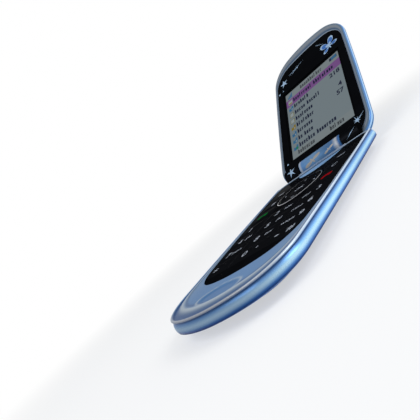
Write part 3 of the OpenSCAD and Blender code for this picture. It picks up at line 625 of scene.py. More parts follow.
def cutCorners(rings, lowerEnd=corner["lowerEnd"]):
    # The lid ends in a straight line at lowerEnd, but outside corner x its rounded corners go on down round
    # the hinge axis. The lid's edge says which columns belong to a corner, so that every ring turns at the
    # same column. The back of a corner keeps to an arc: z is minus the root of (radius squared - v squared).
    rings = rings.copy()
    x, v, z = rings[..., 0], rings[..., 1], rings[..., 2]
    below = lidEdge[:, 1] < corner["from"]
    inside = below & (np.abs(lidEdge[:, 0]) < corner["x"])
    outside = below & ~inside
    edge = inside & (np.roll(outside, 1) | np.roll(outside, -1))
    turn = np.sign(x)
    x[:, outside] = (turn * np.maximum(np.abs(x), corner["x"]))[:, outside]
    x[:, edge] = (turn * corner["x"])[:, edge]
    v[:, inside] = np.maximum(v[:, inside], lowerEnd)
    behind = corner["radius"] ** 2 - np.minimum(v, 0) ** 2
    floorZ = -np.sqrt(np.maximum(behind, corner["leastSquare"]))
    z[:, outside] = np.where(v < lowerEnd, np.maximum(z, floorZ), z)[:, outside]
    return rings


lidRim = {
    # [inset, height, colour] from the parting line up to the rim's crest; the bright band on the side is a
    # painted highlight
    "section": [(1.0, -1.89, "#1f3c66"), (0.2, -1.89, "#1f3c66"), (0.03, -1.84, "#24457a"),
                (0.0, -1.7, "#5684bf"), (0.03, -1.45, "#a3d0f8"), (0.08, -1.15, "#bfe0fb"),
                (0.16, -0.92, "#8ab9ee"), (0.26, -0.74, "#5482bd"), (0.38, -0.58, "#4a78b4"),
                (0.52, -0.42, "#5878a0"), (0.68, -0.28, "#52697f"), (0.9, -0.18, "#53677b"),
                (1.12, -0.16, "#5d6e7f")],
    # [share of the way, height, colour] from the crest to the window's edge; its pale lines are painted
    # highlights
    "top": [(0.15, -0.17, "#6e7983"), (0.35, -0.2, "#7d8287"), (0.55, -0.25, "#69737e"),
            (0.72, -0.31, "#43576e"), (0.86, -0.37, "#3f536b"), (0.95, -0.41, "#8d99a5"),
            (1.0, -0.44, "#6a7785")],
    # [height, colour] down into the window's seat
    "seat": [(-0.9, "#20242c"), (-1.85, "#20242c")],
}


def buildLidRim(s):
    # Side rows follow the section; the top slopes from the crest to the window's edge and down into its seat.
    insets, heights, sideTint = readSection(s["section"])
    shares, topHeights, topTint = readSection(s["top"])
    seatHeights, seatTint = readSection(s["seat"])
    side = atHeight(lidRing(lidOutline, insets[:, None]), heights)
    slopeXY = mix(side[-1, :, :2], lidRing(windowOutline, 0), shares[:, None, None])
    seat = atHeight(np.repeat(slopeXY[-1:], len(seatHeights), 0), seatHeights)
    rings = cutCorners(np.concatenate([side, atHeight(slopeXY, topHeights), seat]))
    points, faces = loft(onLid(rings), looped=True)
    piece = meshPiece("lid_rim", points, faces, [pearlBlue], "lid")
    setTint(piece, np.concatenate([sideTint, topTint, seatTint]).repeat(rings.shape[1], 0))
    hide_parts("lid_inner_shell")
    outwards(piece)


buildLidRim(lidRim)

lidBack = {
    # [inset, height, colour] from the parting line over the bright edge, a painted highlight, and the darker
    # groove, painted shade, to the flat back
    "section": [(1.0, -1.91, "#1f3c66"), (0.2, -1.91, "#1f3c66"), (0.04, -1.97, "#24457a"),
                (0.03, -2.15, "#6fa2dc"), (0.1, -2.4, "#bfe0fa"), (0.25, -2.7, "#d6ebfb"),
                (0.5, -3.02, "#9cc6f0"), (0.85, -3.38, "#4f84c6"), (1.3, -3.72, "#3b6bae"),
                (1.9, -4.06, "#4f82c2"), (2.6, -4.36, "#6293c8"), (3.4, -4.56, "#6a99cc"),
                (4.4, -4.66, "#6a99cc"), (6.0, -4.68, "#6a99cc")],
    "middle": (20, 60), "flatRows": 28, "insideShares": (1.0, 0.5, 0.02),
    # the slope down to the hinge in degrees, its height at the hinge's side, and how high it may come
    "slope": 6.6, "slopeStart": -3.75, "slopeMost": -1.95,
    "soft": 0.3, "softFrom": -2.4, "softRun": 1.2,  # how softly slope and back meet, and below what height
}


def buildLidBack(s):
    # The back's rings follow the section, then close on the middle line. Towards the hinge they are lifted
    # to its slope; the two surfaces meet softly, at half of (sum + root of (difference squared + soft
    # squared)).
    insets, heights, tints = readSection(s["section"])
    rings = cutCorners(atHeight(lidRing(lidOutline, insets[:, None]), heights))
    shelf = rings[-1:].copy()
    shelf[..., 1] = np.maximum(shelf[..., 1], corner["lowerEnd"])
    flatShares = np.linspace(0, 1, s["flatRows"] + 1)[1:]
    flat = atHeight(towardsMiddle(shelf[0, :, :2], flatShares, *s["middle"]), heights[-1])
    inner = atHeight(towardsMiddle(shelf[0, :, :2], s["insideShares"], *s["middle"]), heights[0])
    outer = np.concatenate([rings, shelf, flat])
    v, z = outer[..., 1], outer[..., 2]
    rise = s["slopeStart"] - math.tan(math.radians(s["slope"])) * (v - corner["lowerEnd"])
    rise = np.minimum(rise, s["slopeMost"])
    soft = s["soft"] * ease((s["softFrom"] - z) / s["softRun"])
    outer[..., 2] = (z + rise + np.sqrt((z - rise) ** 2 + soft ** 2)) / 2
    points, faces = loft(onLid(np.concatenate([inner, outer])))
    colours = np.concatenate([tints[:1].repeat(len(inner), 0), tints, tints[-1:].repeat(len(flat) + 1, 0)])
    piece = meshPiece("lid_back", points, faces, [pearlBlue], "lid")
    setTint(piece, colours.repeat(outer.shape[1], 0))
    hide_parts("lid_outer_shell")
    outwards(piece)


buildLidBack(lidBack)


def turnedUpright(profile, centre, steps):
    # Each [radius, height] of the profile turned round an upright axis through the centre.
    radii, heights = np.array(profile, float).T
    return atHeight(np.array(centre) + radii[:, None, None] * circle(steps), heights)


# the camera's dark lens: [radius, height] from its edge over the ring to the middle
lens = {"centre": (0, 17), "sides": 48,
        "profile": [(2.3, -4.6), (2.3, -4.72), (1.7, -4.73), (1.5, -4.7), (1.1, -4.78), (0.6, -4.81),
                    (0.02, -4.82)]}


def buildLens(s):
    # The profile is turned round the lens's own axis, square to the lid.
    points, faces = loft(onLid(turnedUpright(s["profile"], s["centre"], s["sides"])), capped=True)
    outwards(meshPiece("camera_lens", points, faces, [blackGloss], "lid"))


buildLens(lens)
print("lid shells built")

display = {"half": 17.425, "low": 10.3, "high": 53.86}     # 2.2 inch across its corners, 176 by 220 dots
window = {
    "top": -0.45, "bottom": -1.25, "margin": 1.25, "lowerEnd": 3.95, "gap": 0.06,
    "edgeDrop": 0.05, "edgeShare": 0.01, "openingDrop": 0.03, "openingShare": 0.02,     # its rounded edges
}


def buildWindow(s):
    # A slab between the window's outline and a rectangle round the display: each point of the opening lies on
    # the line from the display's middle to its outline point, by the lesser of the two shares at which that
    # line meets the rectangle's sides.
    edge = lidRing(windowOutline, s["gap"])
    outer = cutCorners(atHeight(edge, s["top"])[None], s["lowerEnd"])[0, :, :2]
    shelf = np.stack([outer[:, 0], np.maximum(outer[:, 1], s["lowerEnd"])], -1)
    middle = np.array([0, (display["low"] + display["high"]) / 2])
    size = np.array([display["half"], (display["high"] - display["low"]) / 2]) + s["margin"]
    share = (size / np.maximum(np.abs(shelf - middle), 1e-6)).min(-1)[:, None]
    opening = mix(middle, shelf, share)
    steps = [(shelf, s["bottom"]), (outer, s["bottom"]), (outer, s["top"] - s["edgeDrop"]),
             (mix(outer, shelf, s["edgeShare"]), s["top"]), (mix(shelf, opening, s["edgeShare"]), s["top"]),
             (mix(opening, shelf, s["openingShare"]), s["top"]), (opening, s["top"] - s["openingDrop"]),
             (opening, s["bottom"])]
    points, faces = loft(onLid(np.stack([atHeight(xy, z) for xy, z in steps])), looped=True)
    piece = outwards(meshPiece("window_panel", points, faces, [blackGloss], "lid", sharpAngle=20))
    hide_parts("display_window")


buildWindow(window)


def rodProfile(s):
    # Half of a rod as [along x, radius]: its pole, a quarter circle over its edge and a straight run, and
    # the same mirrored.
    t = np.linspace(math.pi / 2, 0, s["roundSteps"])
    x = -s["half"] + s["round"] * (1 - np.sin(t))
    radii = s["radius"] - s["round"] * (1 - np.cos(t))
    left = np.concatenate([[[-s["half"], s["pole"]]], np.stack([x, radii], -1)])
    run = np.linspace(-s["half"], s["half"], s["runSteps"])[1:-1]
    return np.concatenate([left, atHeight(run[:, None], s["radius"]), left[::-1] * np.array([-1, 1])])


barrel = {
    "half": 11.1, "radius": 3.6, "round": 0.7, "pole": 0.05, "roundSteps": 6, "runSteps": 13, "sides": 72,
    # [along x, colour]: two pale bands near the ends, painted highlights, and a painted sheen that is
    # brightest left of the middle
    "bands": [(-11.1, "#6f9ccc"), (-10.7, "#79a4d0"), (-10.5, "#a5abb2"), (-9.9, "#a5abb2"),
              (-9.7, "#4f78a8"), (-7.5, "#5c82ab"), (-2, "#6588ab"), (4, "#46698f"), (8.9, "#3f648f"),
              (9.1, "#b0b3b6"), (9.9, "#b0b3b6"), (10.1, "#2f5380"), (11.1, "#3c689e")],
}


def buildBarrel(s):
    # The rod's profile turned round the hinge axis, coloured by its bands along x.
    x, radii = rodProfile(s).T
    around = radii[:, None, None] * circle(s["sides"])
    rings = np.concatenate([np.broadcast_to(x[:, None, None], (len(x), s["sides"], 1)), around], -1)
    points, faces = loft(onHinge(rings), capped=True)
    stops, tints = readSection(s["bands"])
    piece = meshPiece("hinge_barrel", points, faces, [satinBlue], "base")
    setTint(piece, blendTint(vertexPlaces(piece)[:, 0], stops, tints))
    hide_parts("hinge_cover")


buildBarrel(barrel)


def rolledPrint(rim, x, angle, radius, rows, lift=0.0):
    # A flat rim filled in by rings towards its middle and rolled round the hinge axis: what stands y from
    # the middle comes at angle - y / radius.
    grid = rim * np.linspace(0, 1, rows)[:, None, None]
    a = math.radians(angle) - grid[..., 1] / radius
    points = np.stack([x + grid[..., 0], (radius + lift) * np.cos(a), (radius + lift) * np.sin(a)], -1)
    return points.reshape(-1, 3), gridFaces(rows, len(rim), True)


# two soft four-pointed sparkles printed on the barrel: [x, angle round the axis, length, width, turn]
sparkles = {"marks": [(-3.4, 152, 5.0, 1.2, 0.45), (5.4, 152, 3.0, 0.6, 0.5)], "colour": "#98948e",
            "crossShare": 0.4, "longPower": 10, "crossPower": 12, "flatten": 0.6, "sides": 96, "rows": 9,
            "lift": 0.012}


def buildSparkles(s, radius):
    # At the angle a round its middle a mark reaches width / 2, plus (length - width / 2) times the 10th
    # power of cos a, plus (0.4 length - width / 2) times the 12th power of sin a: two long arms, two short.
    parts = []
    a = np.linspace(0, 2 * math.pi, s["sides"], endpoint=False)
    for x, angle, length, width, turn in s["marks"]:
        long = (length - width / 2) * np.abs(np.cos(a)) ** s["longPower"]
        cross = (length * s["crossShare"] - width / 2) * np.abs(np.sin(a)) ** s["crossPower"]
        reach = width / 2 + long + cross
        rim = np.stack([reach * np.cos(a + turn), reach * np.sin(a + turn) * s["flatten"]], -1)
        parts.append(rolledPrint(rim, x, angle, radius, s["rows"], s["lift"]))
    points, faces = joinParts(parts)
    piece = meshPiece("barrel_sparkles", onHinge(points), faces, [satinBlue], "base")
    setTint(piece, s["colour"])


buildSparkles(sparkles, barrel["radius"])
print("hinge built")


keyShape = {"top": 6.75, "skirt": 6.14, "crown": 0.1, "edge": 0.45, "drop": 0.14, "gap": 0.13,
            "rows": 22, "columns": 30, "outerInset": 0.9, "columnX": 7.45, "dialTop": 42.3, "rowPitch": 7.55,
            "functionRows": (14.9, 23.7, 32.4, 41.8), "navY": -29.5, "navRadius": 10.4}
# each dial key's digit and letters, and the pairs of keys to the left and right of the ring
dialKeys = {"key_1": ("1", ""), "key_2": ("2", "abc"), "key_3": ("3", "def"), "key_4": ("4", "ghi"),
            "key_5": ("5", "jkl"), "key_6": ("6", "mno"), "key_7": ("7", "pqrs"), "key_8": ("8", "tuv"),
            "key_9": ("9", "wxyz"), "key_star": ("*", ""), "key_0": ("0", "+"), "key_hash": ("#", "")}
functionKeys = [("soft_key_left", "soft_key_right"), ("menu_key", "clear_key"), ("call_key", "end_key")]


def sideOf(y, inset):
    # Half-width of the keypad's outline at y.
    ring = ringAt(keypadOutline, inset)
    half = ring[:len(ring) // 2 + 1]
    half = half[half[:, 0] > 0]
    half = half[np.argsort(half[:, 1])]
    return np.interp(y, half[:, 1], half[:, 0])


def bunched(count):
    # From 0 to 1 in steps that are shorter at both ends: 0.65 of an even run and 0.35 of half a cosine wave.
    t = np.linspace(0, 1, count)
    return 0.5 - 0.35 * 0.5 * np.cos(t * math.pi) - 0.65 * (0.5 - t)


def keyCap(body, edges, low, high, s):
    # A grid between a left and a right edge that may depend on y. Its height falls off towards the rim, by
    # drop times the square of the way into the edge's width, and by the crown times the mean square of the
    # distance from the middle; a skirt and a floor close the cap.
    v, u = bunched(s["rows"])[:, None], bunched(s["columns"])
    y = mix(low, high, v)
    left, right = (np.broadcast_to(edge, y.shape) for edge in edges(y))
    x = mix(left, right, u)
    fromSide, fromEnd = np.minimum(x - left, right - x), np.minimum(y - low, high - y)
    fall = np.clip(1 - fromSide / s["edge"], 0, 1) ** 2 + np.clip(1 - fromEnd / s["edge"], 0, 1) ** 2
    z = s["top"] - s["drop"] * fall - s["crown"] * ((2 * u - 1) ** 2 + (2 * v - 1) ** 2) / 2
    top = np.stack([x, np.broadcast_to(y, x.shape), z], -1).reshape(-1, 3)
    loop = edgeLoop(*x.shape)
    foot = len(top) + np.arange(len(loop))
    points = np.concatenate([top, atHeight(top[loop, :2], s["skirt"])])
    skirt = np.stack([loop, foot, np.roll(foot, -1), np.roll(loop, -1)], -1).tolist()
    faces = gridFaces(*x.shape) + skirt + [foot[::-1].tolist()]
    piece = outwards(meshPiece(body + "_cap", onBase(points), faces, [keyGloss], body, sharpAngle=50))
    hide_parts(body)


def buildKeys(s):
    # The dial keys stand in three columns between the keypad's outline and two straight gaps. The six above
    # them reach from the outline to a circle round the ring, where x is the root of (radius squared -
    # (y - navY) squared).
    inner, g = s["columnX"], s["gap"]

    def outer(y):
        # The keys' outer edge at y, just inside the keypad's own.
        return sideOf(y, s["outerInset"])

    def nearRing(y):
        # The edge towards the ring at y: the circle, or the straight gap where that is further out.
        across = np.sqrt(np.maximum(s["navRadius"] ** 2 - (y - s["navY"]) ** 2, 0))
        return np.maximum(inner + g, across)

    columns = [lambda y: (-outer(y), -inner - g), lambda y: (-inner + g, inner - g),
               lambda y: (inner + g, outer(y))]
    for i, body in enumerate(dialKeys):
        row, column = divmod(i, len(columns))
        upper = -s["dialTop"] - s["rowPitch"] * row
        keyCap(body, columns[column], upper - s["rowPitch"] + g, upper - g, s)
    for row, (left, right) in enumerate(functionKeys):
        low, high = -s["functionRows"][row + 1] + g, -s["functionRows"][row] - g
        keyCap(left, lambda y: (-outer(y), -nearRing(y)), low, high, s)
        keyCap(right, lambda y: (nearRing(y), outer(y)), low, high, s)


buildKeys(keyShape)

navCentre, navSides = (0, keyShape["navY"]), 120
navRings = {
    # Profiles are [radius, height]; a looped one is joined end to start, and the ok key's is capped.
    "nav_ring": {"piece": "nav_ring_cap", "body": "nav_ring", "slot": "black_gloss", "looped": True,
                 "paints": [keyGloss], "brightRows": (),
                 "profile": [(4.55, 6.14), (4.55, 6.5), (4.6, 6.62), (4.75, 6.68), (5.6, 6.64), (6.8, 6.61),
                             (8.0, 6.66), (8.8, 6.72), (9.0, 6.66), (9.1, 6.5), (9.1, 6.14)]},
    "ok_key": {"piece": "ok_key_cap", "body": "ok_key", "slot": "black_gloss", "looped": False,
               "paints": [keyGloss], "brightRows": (),
               "profile": [(0.02, 6.14), (4.4, 6.14), (4.4, 6.5), (4.33, 6.62), (4.15, 6.69), (3.4, 6.66),
                           (2.2, 6.63), (0.02, 6.62)]},
    "nav_trim": {"piece": "nav_trim_ring", "body": "base", "slot": "silver_trim", "looped": True,
                 "paints": [keyGloss, silverTrim], "brightRows": (3, 4),
                 "profile": [(9.26, 5.76), (9.26, 6.66), (9.34, 6.78), (9.5, 6.85), (9.66, 6.85),
                             (9.82, 6.77), (9.9, 6.62), (9.9, 5.76)]},
}


def buildNavRing(node, s):
    # The profile turned round the ring's middle; its bright rows take the second paint.
    rings = turnedUpright(s["profile"], navCentre, navSides)
    points, faces = loft(onBase(rings), capped=not s["looped"], looped=s["looped"])
    slots = np.isin(np.arange(len(faces)) // navSides, s["brightRows"])
    piece = outwards(meshPiece(s["piece"], points, faces, s["paints"], s["body"], slots=slots))
    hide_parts(node)


for node, ringValues in navRings.items():
    buildNavRing(node, ringValues)
print("keys built")


# Inks of screen and pad printing lie flat and matt. Silver ink keeps a trace of sheen from its flakes.
legendInk = plainFinish("silverInk", "#a3abb8", 0.1, (0.35, 0.45), sockets={"Specular IOR Level": 0.03})
# Plain pigments: even colour without any sheen
greenInk = plainFinish("greenInk", "#0c6a2c", 0.0, (0.4, 0.5), sockets=noGlare)
redInk = plainFinish("redInk", "#8a0d15", 0.0, (0.4, 0.5), sockets=noGlare)
# Hot-stamped foil behind the window: metallic, but dulled by the plastic over it
starInk = plainFinish("blueSilverFoil", "#93aec8", 0.2, (0.35, 0.45), sockets={"Specular IOR Level": 0.1})
wingInk = plainFinish("blueFoil", "#2f62a6", 0.2, (0.35, 0.45), sockets={"Specular IOR Level": 0.1})

capitalShare = 0.69         # how tall a capital is in the font's own size


def letters(text, size, centre, squeeze=1.0, bold=0.0):
    # A word as flat faces, its middle at centre; size is the height of a capital, and squeeze widens it.
    curve = bpy.data.curves.new("word", "FONT")
    curve.body = text
    curve.size = 1.0
    curve.resolution_u = 3
    curve.offset = bold
    holder = bpy.data.objects.new("word", curve)
    bpy.context.scene.collection.objects.link(holder)
    bpy.context.view_layer.update()
    mesh = bpy.data.meshes.new_from_object(holder.evaluated_get(bpy.context.evaluated_depsgraph_get()))
    bpy.data.objects.remove(holder)
    co = np.zeros(len(mesh.vertices) * 3)
    mesh.vertices.foreach_get("co", co)
    xy = co.reshape(-1, 3)[:, :2]
    faces = [list(polygon.vertices) for polygon in mesh.polygons]
    bpy.data.meshes.remove(mesh)
    middle = np.array([(xy[:, 0].min() + xy[:, 0].max()) / 2, capitalShare / 2])
    return (xy - middle) * (size / capitalShare) * np.array([squeeze, 1]) + np.array(centre), faces


def stackFlat(parts, lift, step=0.0):
    # Joins flat parts, the first at the height lift and each of the others a step above the one before.
    return joinParts([(atHeight(xy, lift + step * k), faces) for k, (xy, faces) in enumerate(parts)])


def starShape(centre, radius, valley, points, turn=0.0):
    # A star: the radius swings between its tips and its valleys.
    k = np.arange(points * 2)
    a = turn + k * math.pi / points + math.pi / 2
    r = np.where(k % 2 == 0, radius, valley)
    rim = np.stack([np.cos(a) * r, np.sin(a) * r], -1) + np.array(centre)
    return np.concatenate([[centre], rim]), [[0, 1 + i, 1 + (i + 1) % len(k)] for i in k.tolist()]


def streak(a, b, width, widest=0.35):
    # A thin needle from a to b, with its full width at a third of its way.
    a, b = np.array(a, float), np.array(b, float)
    d = (b - a) / np.linalg.norm(b - a)
    side = np.array([-d[1], d[0]]) * width / 2
    m = mix(a, b, widest)
    return np.stack([a, m - side, b, m + side]), [[0, 1, 2, 3]]


def disc(centre, radius, radiusY=None, turn=0.0, steps=24):
    # A filled oval, turned about its middle.
    c, s = math.cos(turn), math.sin(turn)
    xy = circle(steps) * np.array([radius, radiusY or radius])
    return xy @ np.array([[c, s], [-s, c]]) + np.array(centre), [list(range(steps))]


def rect(x0, y0, x1, y1):
    # A rectangle from its lower left to its upper right corner.
    return np.array([[x0, y0], [x1, y0], [x1, y1], [x0, y1]], float), [[0, 1, 2, 3]]


legendPlaces = {"digitX": (-15.0, -1.8, 15.9), "lettersX": (-10.6, 3.4, 10.9), "digitSize": 2.6,
                "letterSize": 1.55, "lettersDrop": 0.15, "wide": 1.15, "starSize": 3.25, "starDrop": 0.9,
                "oval": (0.8, 0.3), "ovalDrop": 0.2, "lift": 6.762, "step": 0.004}


def dialLegend(key, digit, word, x, lettersX, y, s):
    # The digit stands on the left of its key and its letters on the right; the star hangs lower, and the
    # hash key has an oval in place of letters.
    star = digit == "*"
    size, drop = (s["starSize"], s["starDrop"]) if star else (s["digitSize"], 0)
    parts = [letters(digit, size, (x, y - drop), s["wide"])]
    if word:
        parts.append(letters(word, s["letterSize"], (lettersX, y - s["lettersDrop"]), s["wide"]))
    if digit == "#":
        parts.append(disc((lettersX, y - s["ovalDrop"]), *s["oval"]))
    points, faces = stackFlat(parts, s["lift"])
    meshPiece(key + "_legend", onBase(points), faces, [legendInk], key, smooth=False)


for i, (key, (digit, word)) in enumerate(dialKeys.items()):
    row, column = divmod(i, len(legendPlaces["digitX"]))
    rowY = -keyShape["dialTop"] - keyShape["rowPitch"] * (row + 0.5)
    places = legendPlaces["digitX"][column], legendPlaces["lettersX"][column]
    dialLegend(key, digit, word, *places, rowY, legendPlaces)

arrow = 0.5         # width of the ring's four arrow strokes
functionMarks = {
    "soft_key_left": (legendInk, [disc((-14.7, -19.3), 1.9, 0.32)]),
    "soft_key_right": (legendInk, [disc((15.3, -19.6), 1.9, 0.32)]),
    "menu_key": (legendInk, [disc((-14.3, -27.4), 1.1, 0.28), disc((-14.3, -28.6), 1.1, 0.28)]),
    "clear_key": (legendInk, [letters("C", 2.3, (15.3, -28.3), 1.15)]),
    "call_key": (greenInk, [disc((-14.8, -36.4), 2.4, 0.75, 0.1), disc((-16.5, -37.0), 0.9, 1.0),
                            disc((-13.1, -36.9), 0.9, 1.0)]),
    "end_key": (redInk, [disc((15.2, -36.4), 2.0, 0.95, -0.1), disc((13.8, -37.0), 0.85, 1.2),
                         disc((16.6, -36.9), 0.85, 1.2)]),
    "ok_key": (legendInk, [letters("OK", 2.0, navCentre, 1.1)]),
    "nav_ring": (legendInk, [streak((-0.9, -22.7), (0.9, -22.7), arrow),
                             streak((-0.9, -36.3), (0.9, -36.3), arrow),
                             streak((-6.8, -30.4), (-6.8, -28.6), arrow),
                             streak((6.8, -30.4), (6.8, -28.6), arrow)]),
}
for key, (ink, parts) in functionMarks.items():
    points, faces = stackFlat(parts, legendPlaces["lift"], legendPlaces["step"])
    meshPiece(key + "_mark", onBase(points), faces, [ink], key, smooth=False)
print("legends printed")

# a plain butterfly on the window: [length, span, lean] of its upper and lower wings, and its body's radii
butterfly = {"upper": (6.3, 68, 38), "lower": (4.6, 58, 112), "body": (0.42, 2.3), "place": (14.5, 60.6),
             "turn": 0.3, "steps": 27, "blunt": 0.55, "tilt": 0.35}


def butterflyShapes(s):
    # A wing is a lobe in polar form: length times (cos of pi u) to the power 0.55, times 1 - 0.35 u, where u
    # runs from -0.5 to 0.5 over the wing's span, so that it is longer on the side towards the head.
    parts = []
    for side in (1, -1):
        for length, span, lean in (s["upper"], s["lower"]):
            u = np.linspace(-0.5, 0.5, s["steps"])
            lobe = np.maximum(np.cos(math.pi * u), 0) ** s["blunt"]
            reach = length * lobe * (1 - s["tilt"] * u)
            angle = math.pi / 2 + s["turn"] - side * np.radians(lean + span * u)
            rim = np.stack([np.cos(angle), np.sin(angle)], -1) * reach[:, None]
            parts.append((rim[:-1] + np.array(s["place"]), [list(range(s["steps"] - 1))]))
    return parts + [disc(s["place"], *s["body"], s["turn"])]


def shrunk(shapes, share):
    # The same flat shapes drawn in towards the butterfly's middle.
    return [(mix(np.array(butterfly["place"]), xy, share), faces) for xy, faces in shapes]


# stars, sparkles and streaks on the window
windowPrint = [starShape((-16.8, 62.8), 2.8, 1.0, 5, 0.2), disc((-20.6, 57.2), 0.55),
               disc((-17.9, 57.7), 0.36), streak((-13.6, 65.0), (-1.4, 67.8), 0.34),
               streak((-11.3, 64.3), (-4.9, 66.9), 0.26), starShape((-6.6, 66.2), 1.3, 0.24, 4, 0.5),
               streak((6.5, 69.4), (12.0, 65.4), 0.24), starShape((18.3, 6.3), 3.0, 0.3, 4, 0.35),
               starShape((18.3, 6.3), 1.8, 0.4, 4, 1.1), disc((18.3, 6.3), 0.8),
               streak((22.4, 8.9), (15.2, 4.15), 0.3), disc((-20.2, 8.9), 0.45)]
wings = butterflyShapes(butterfly)
windowLayers = [("window_print", windowPrint, starInk, -0.442), ("butterfly_edges", wings, starInk, -0.442),
                ("butterfly_wings", shrunk(wings[:4], 0.84), wingInk, -0.434),
                ("butterfly_veins", shrunk(wings[:4], 0.4), starInk, -0.426)]
printStep = 0.0015          # each shape of a layer lies this much above the one before
for name, parts, ink, lift in windowLayers:
    points, faces = stackFlat(parts, lift, printStep)
    meshPiece(name, onLid(points), faces, [ink], "lid", smooth=False)

# prints on the lid's knuckles: [x, angle round the axis from the lid's plane, radius, valley, points, turn]
knucklePrints = {"marks": [(-15.3, 98, 2.5, 0.75, 5, 0.2), (16.2, 112, 3.1, 0.14, 2, -1.05)],
                 "radius": 3.615, "sideSteps": 8, "rows": 7}


def buildKnucklePrints(s):
    # Star rims with points along their sides, rolled round the hinge axis in the lid's own frame.
    parts = []
    along = np.linspace(0, 1, s["sideSteps"], endpoint=False)[:, None]
    for x, angle, reach, valley, points, turn in s["marks"]:
        tips = starShape((0, 0), reach, valley, points, turn)[0][1:]
        rim = mix(tips[:, None], np.roll(tips, -1, 0)[:, None], along).reshape(-1, 2)
        parts.append(rolledPrint(rim, x, angle, s["radius"], s["rows"]))
    points, faces = joinParts(parts)
    meshPiece("knuckle_print", onLid(points), faces, [starInk], "lid")


buildKnucklePrints(knucklePrints)


def glow(name, colour):
    # A lit dot of the liquid crystal display: the backlight gives its brightness, so the surface itself
    # stays dark and shows no highlight.
    material, tree, shader = newMaterial(name, {**noGlare, "Base Color": toLinear("#19191d"),
                                                "Emission Strength": 1.0, "Emission Color": toLinear(colour)})
    addGrain(tree, shader, patternSize["display"], (0.26, 0.36))
    return material


screenInks = {"ground": glow("displayGround", "#6a7579"), "bar": glow("displayBar", "#6f787a"),
              "mark": glow("displayHighlight", "#6a4679"), "navy": glow("displayNavy", "#10172e"),
              "grey": glow("displayGrey", "#1b1d22"), "sky": glow("displaySky", "#2c5c80"),
              "amber": glow("displayAmber", "#77651c"), "olive": glow("displayOlive", "#6a6742"),
              "green": glow("displayGreen", "#1d6b46"), "pale": glow("displayPale", "#838c8e")}
screenList = {
    # each row of the list: how far its middle is below the top, the lengths of its words and its icon
    "rows": [(7.3, (9, 9), "pale"), (11.9, (7,), "sky"), (16.4, (5, 6), "olive"), (20.7, (8,), "olive"),
             (25.0, (8,), "amber"), (29.3, (7,), "sky"), (33.5, (2, 4), "sky"), (37.8, (7, 8), "sky")],
    "header": 4.8, "footer": 4.2, "selected": 5.0,  # heights of the bars at the top, below and of row one
    "iconX": 1.3, "iconSize": 2.8, "textX": 4.8, "textDrop": 1.0, "wordGap": 0.7, "z": -1.22, "step": 0.004,
    # digits at the right end of some rows, where half a digit's width with its gap is 0.75
    "numbers": {1: "218", 3: "4", 4: "57"},
    "digits": {"right": 2.0, "half": 0.75, "size": 2.5, "drop": 0.1, "wide": 1.1, "bold": 0.03},
    # four bars at the top left, each taller than the last, measured from the left and the top edge
    "signal": {"x": 1.4, "pitch": 0.8, "wide": 0.6, "foot": 4.3, "top": 2.9, "rise": 0.7},
}
# text sizes: [pitch of the signs, height, line width] in the list, the title and the footer's two words
textStyle = {"list": (1.4, 1.85, 0.6), "title": (1.33, 1.75, 0.38), "left": (1.28, 1.75, 0.38),
             "right": (1.3, 1.75, 0.38)}
signs = [("stem", "right", "top"), ("stem", "right", "top", "foot"), ("stem", "top", "foot"),
         ("high", "right", "top", "foot"), ("high",), ("stem", "top"), ("stem", "right", "foot"),
         ("right", "top", "middle", "foot"), ("stem", "middle", "top", "foot")]
firstSign = 3       # each word starts with the fourth kind, which stands higher than a round letter
# shares: a sign of its pitch, the high stem and the middle bar's place of the height, bars of the line
signShares = {"wide": 0.72, "high": 1.45, "middle": 0.45, "bar": 0.9, "middleBar": 0.8}


def greekText(x, y, count, style, rng):
    # Stand-in lettering that spells nothing: each sign is one of a few mixes of stems and bars.
    pitch, tall, line = textStyle[style]
    share = signShares
    kinds = rng.integers(0, len(signs), count)
    kinds[0] = firstSign
    parts = []
    for left, kind in zip(x + np.arange(count) * pitch, kinds):
        right, top, middle = left + pitch * share["wide"], y + tall, y + tall * share["middle"]
        bars = {"stem": rect(left, y, left + line, top), "right": rect(right - line, y, right, top),
                "high": rect(left, y, left + line, y + tall * share["high"]),
                "top": rect(left, top - line * share["bar"], right, top),
                "middle": rect(left, middle, right, middle + line * share["middleBar"]),
                "foot": rect(left, y, right, y + line * share["bar"])}
        parts += [bars[bar] for bar in signs[kind]]
    return parts


def rowIcon(icon, x, y, first, last):
    # A square with a sheet on it, or with two dots; each shape comes with its ink and its layer.
    half = screenList["iconSize"] / 2
    shapes = [(icon, rect(x, y - half, x + 2 * half, y + half), 2)]
    if first:
        shapes.append(("amber", rect(x + 0.3, y - 0.3, x + 2.4, y - 1.1), 3))
    elif icon == "olive":
        shapes.append(("pale", rect(x + 0.3, y - 1.1, x + 2.4, y + 1.15), 3))
    else:
        shapes.append(("ground", disc((x + 0.9, y + 0.9), 0.9, 0.6), 3))
        dot, ink = (0.75, "green") if last else (0.45, "pale")
        shapes.append((ink, disc((x + 2.0, y - 0.6), dot, steps=12), 3))
    return shapes


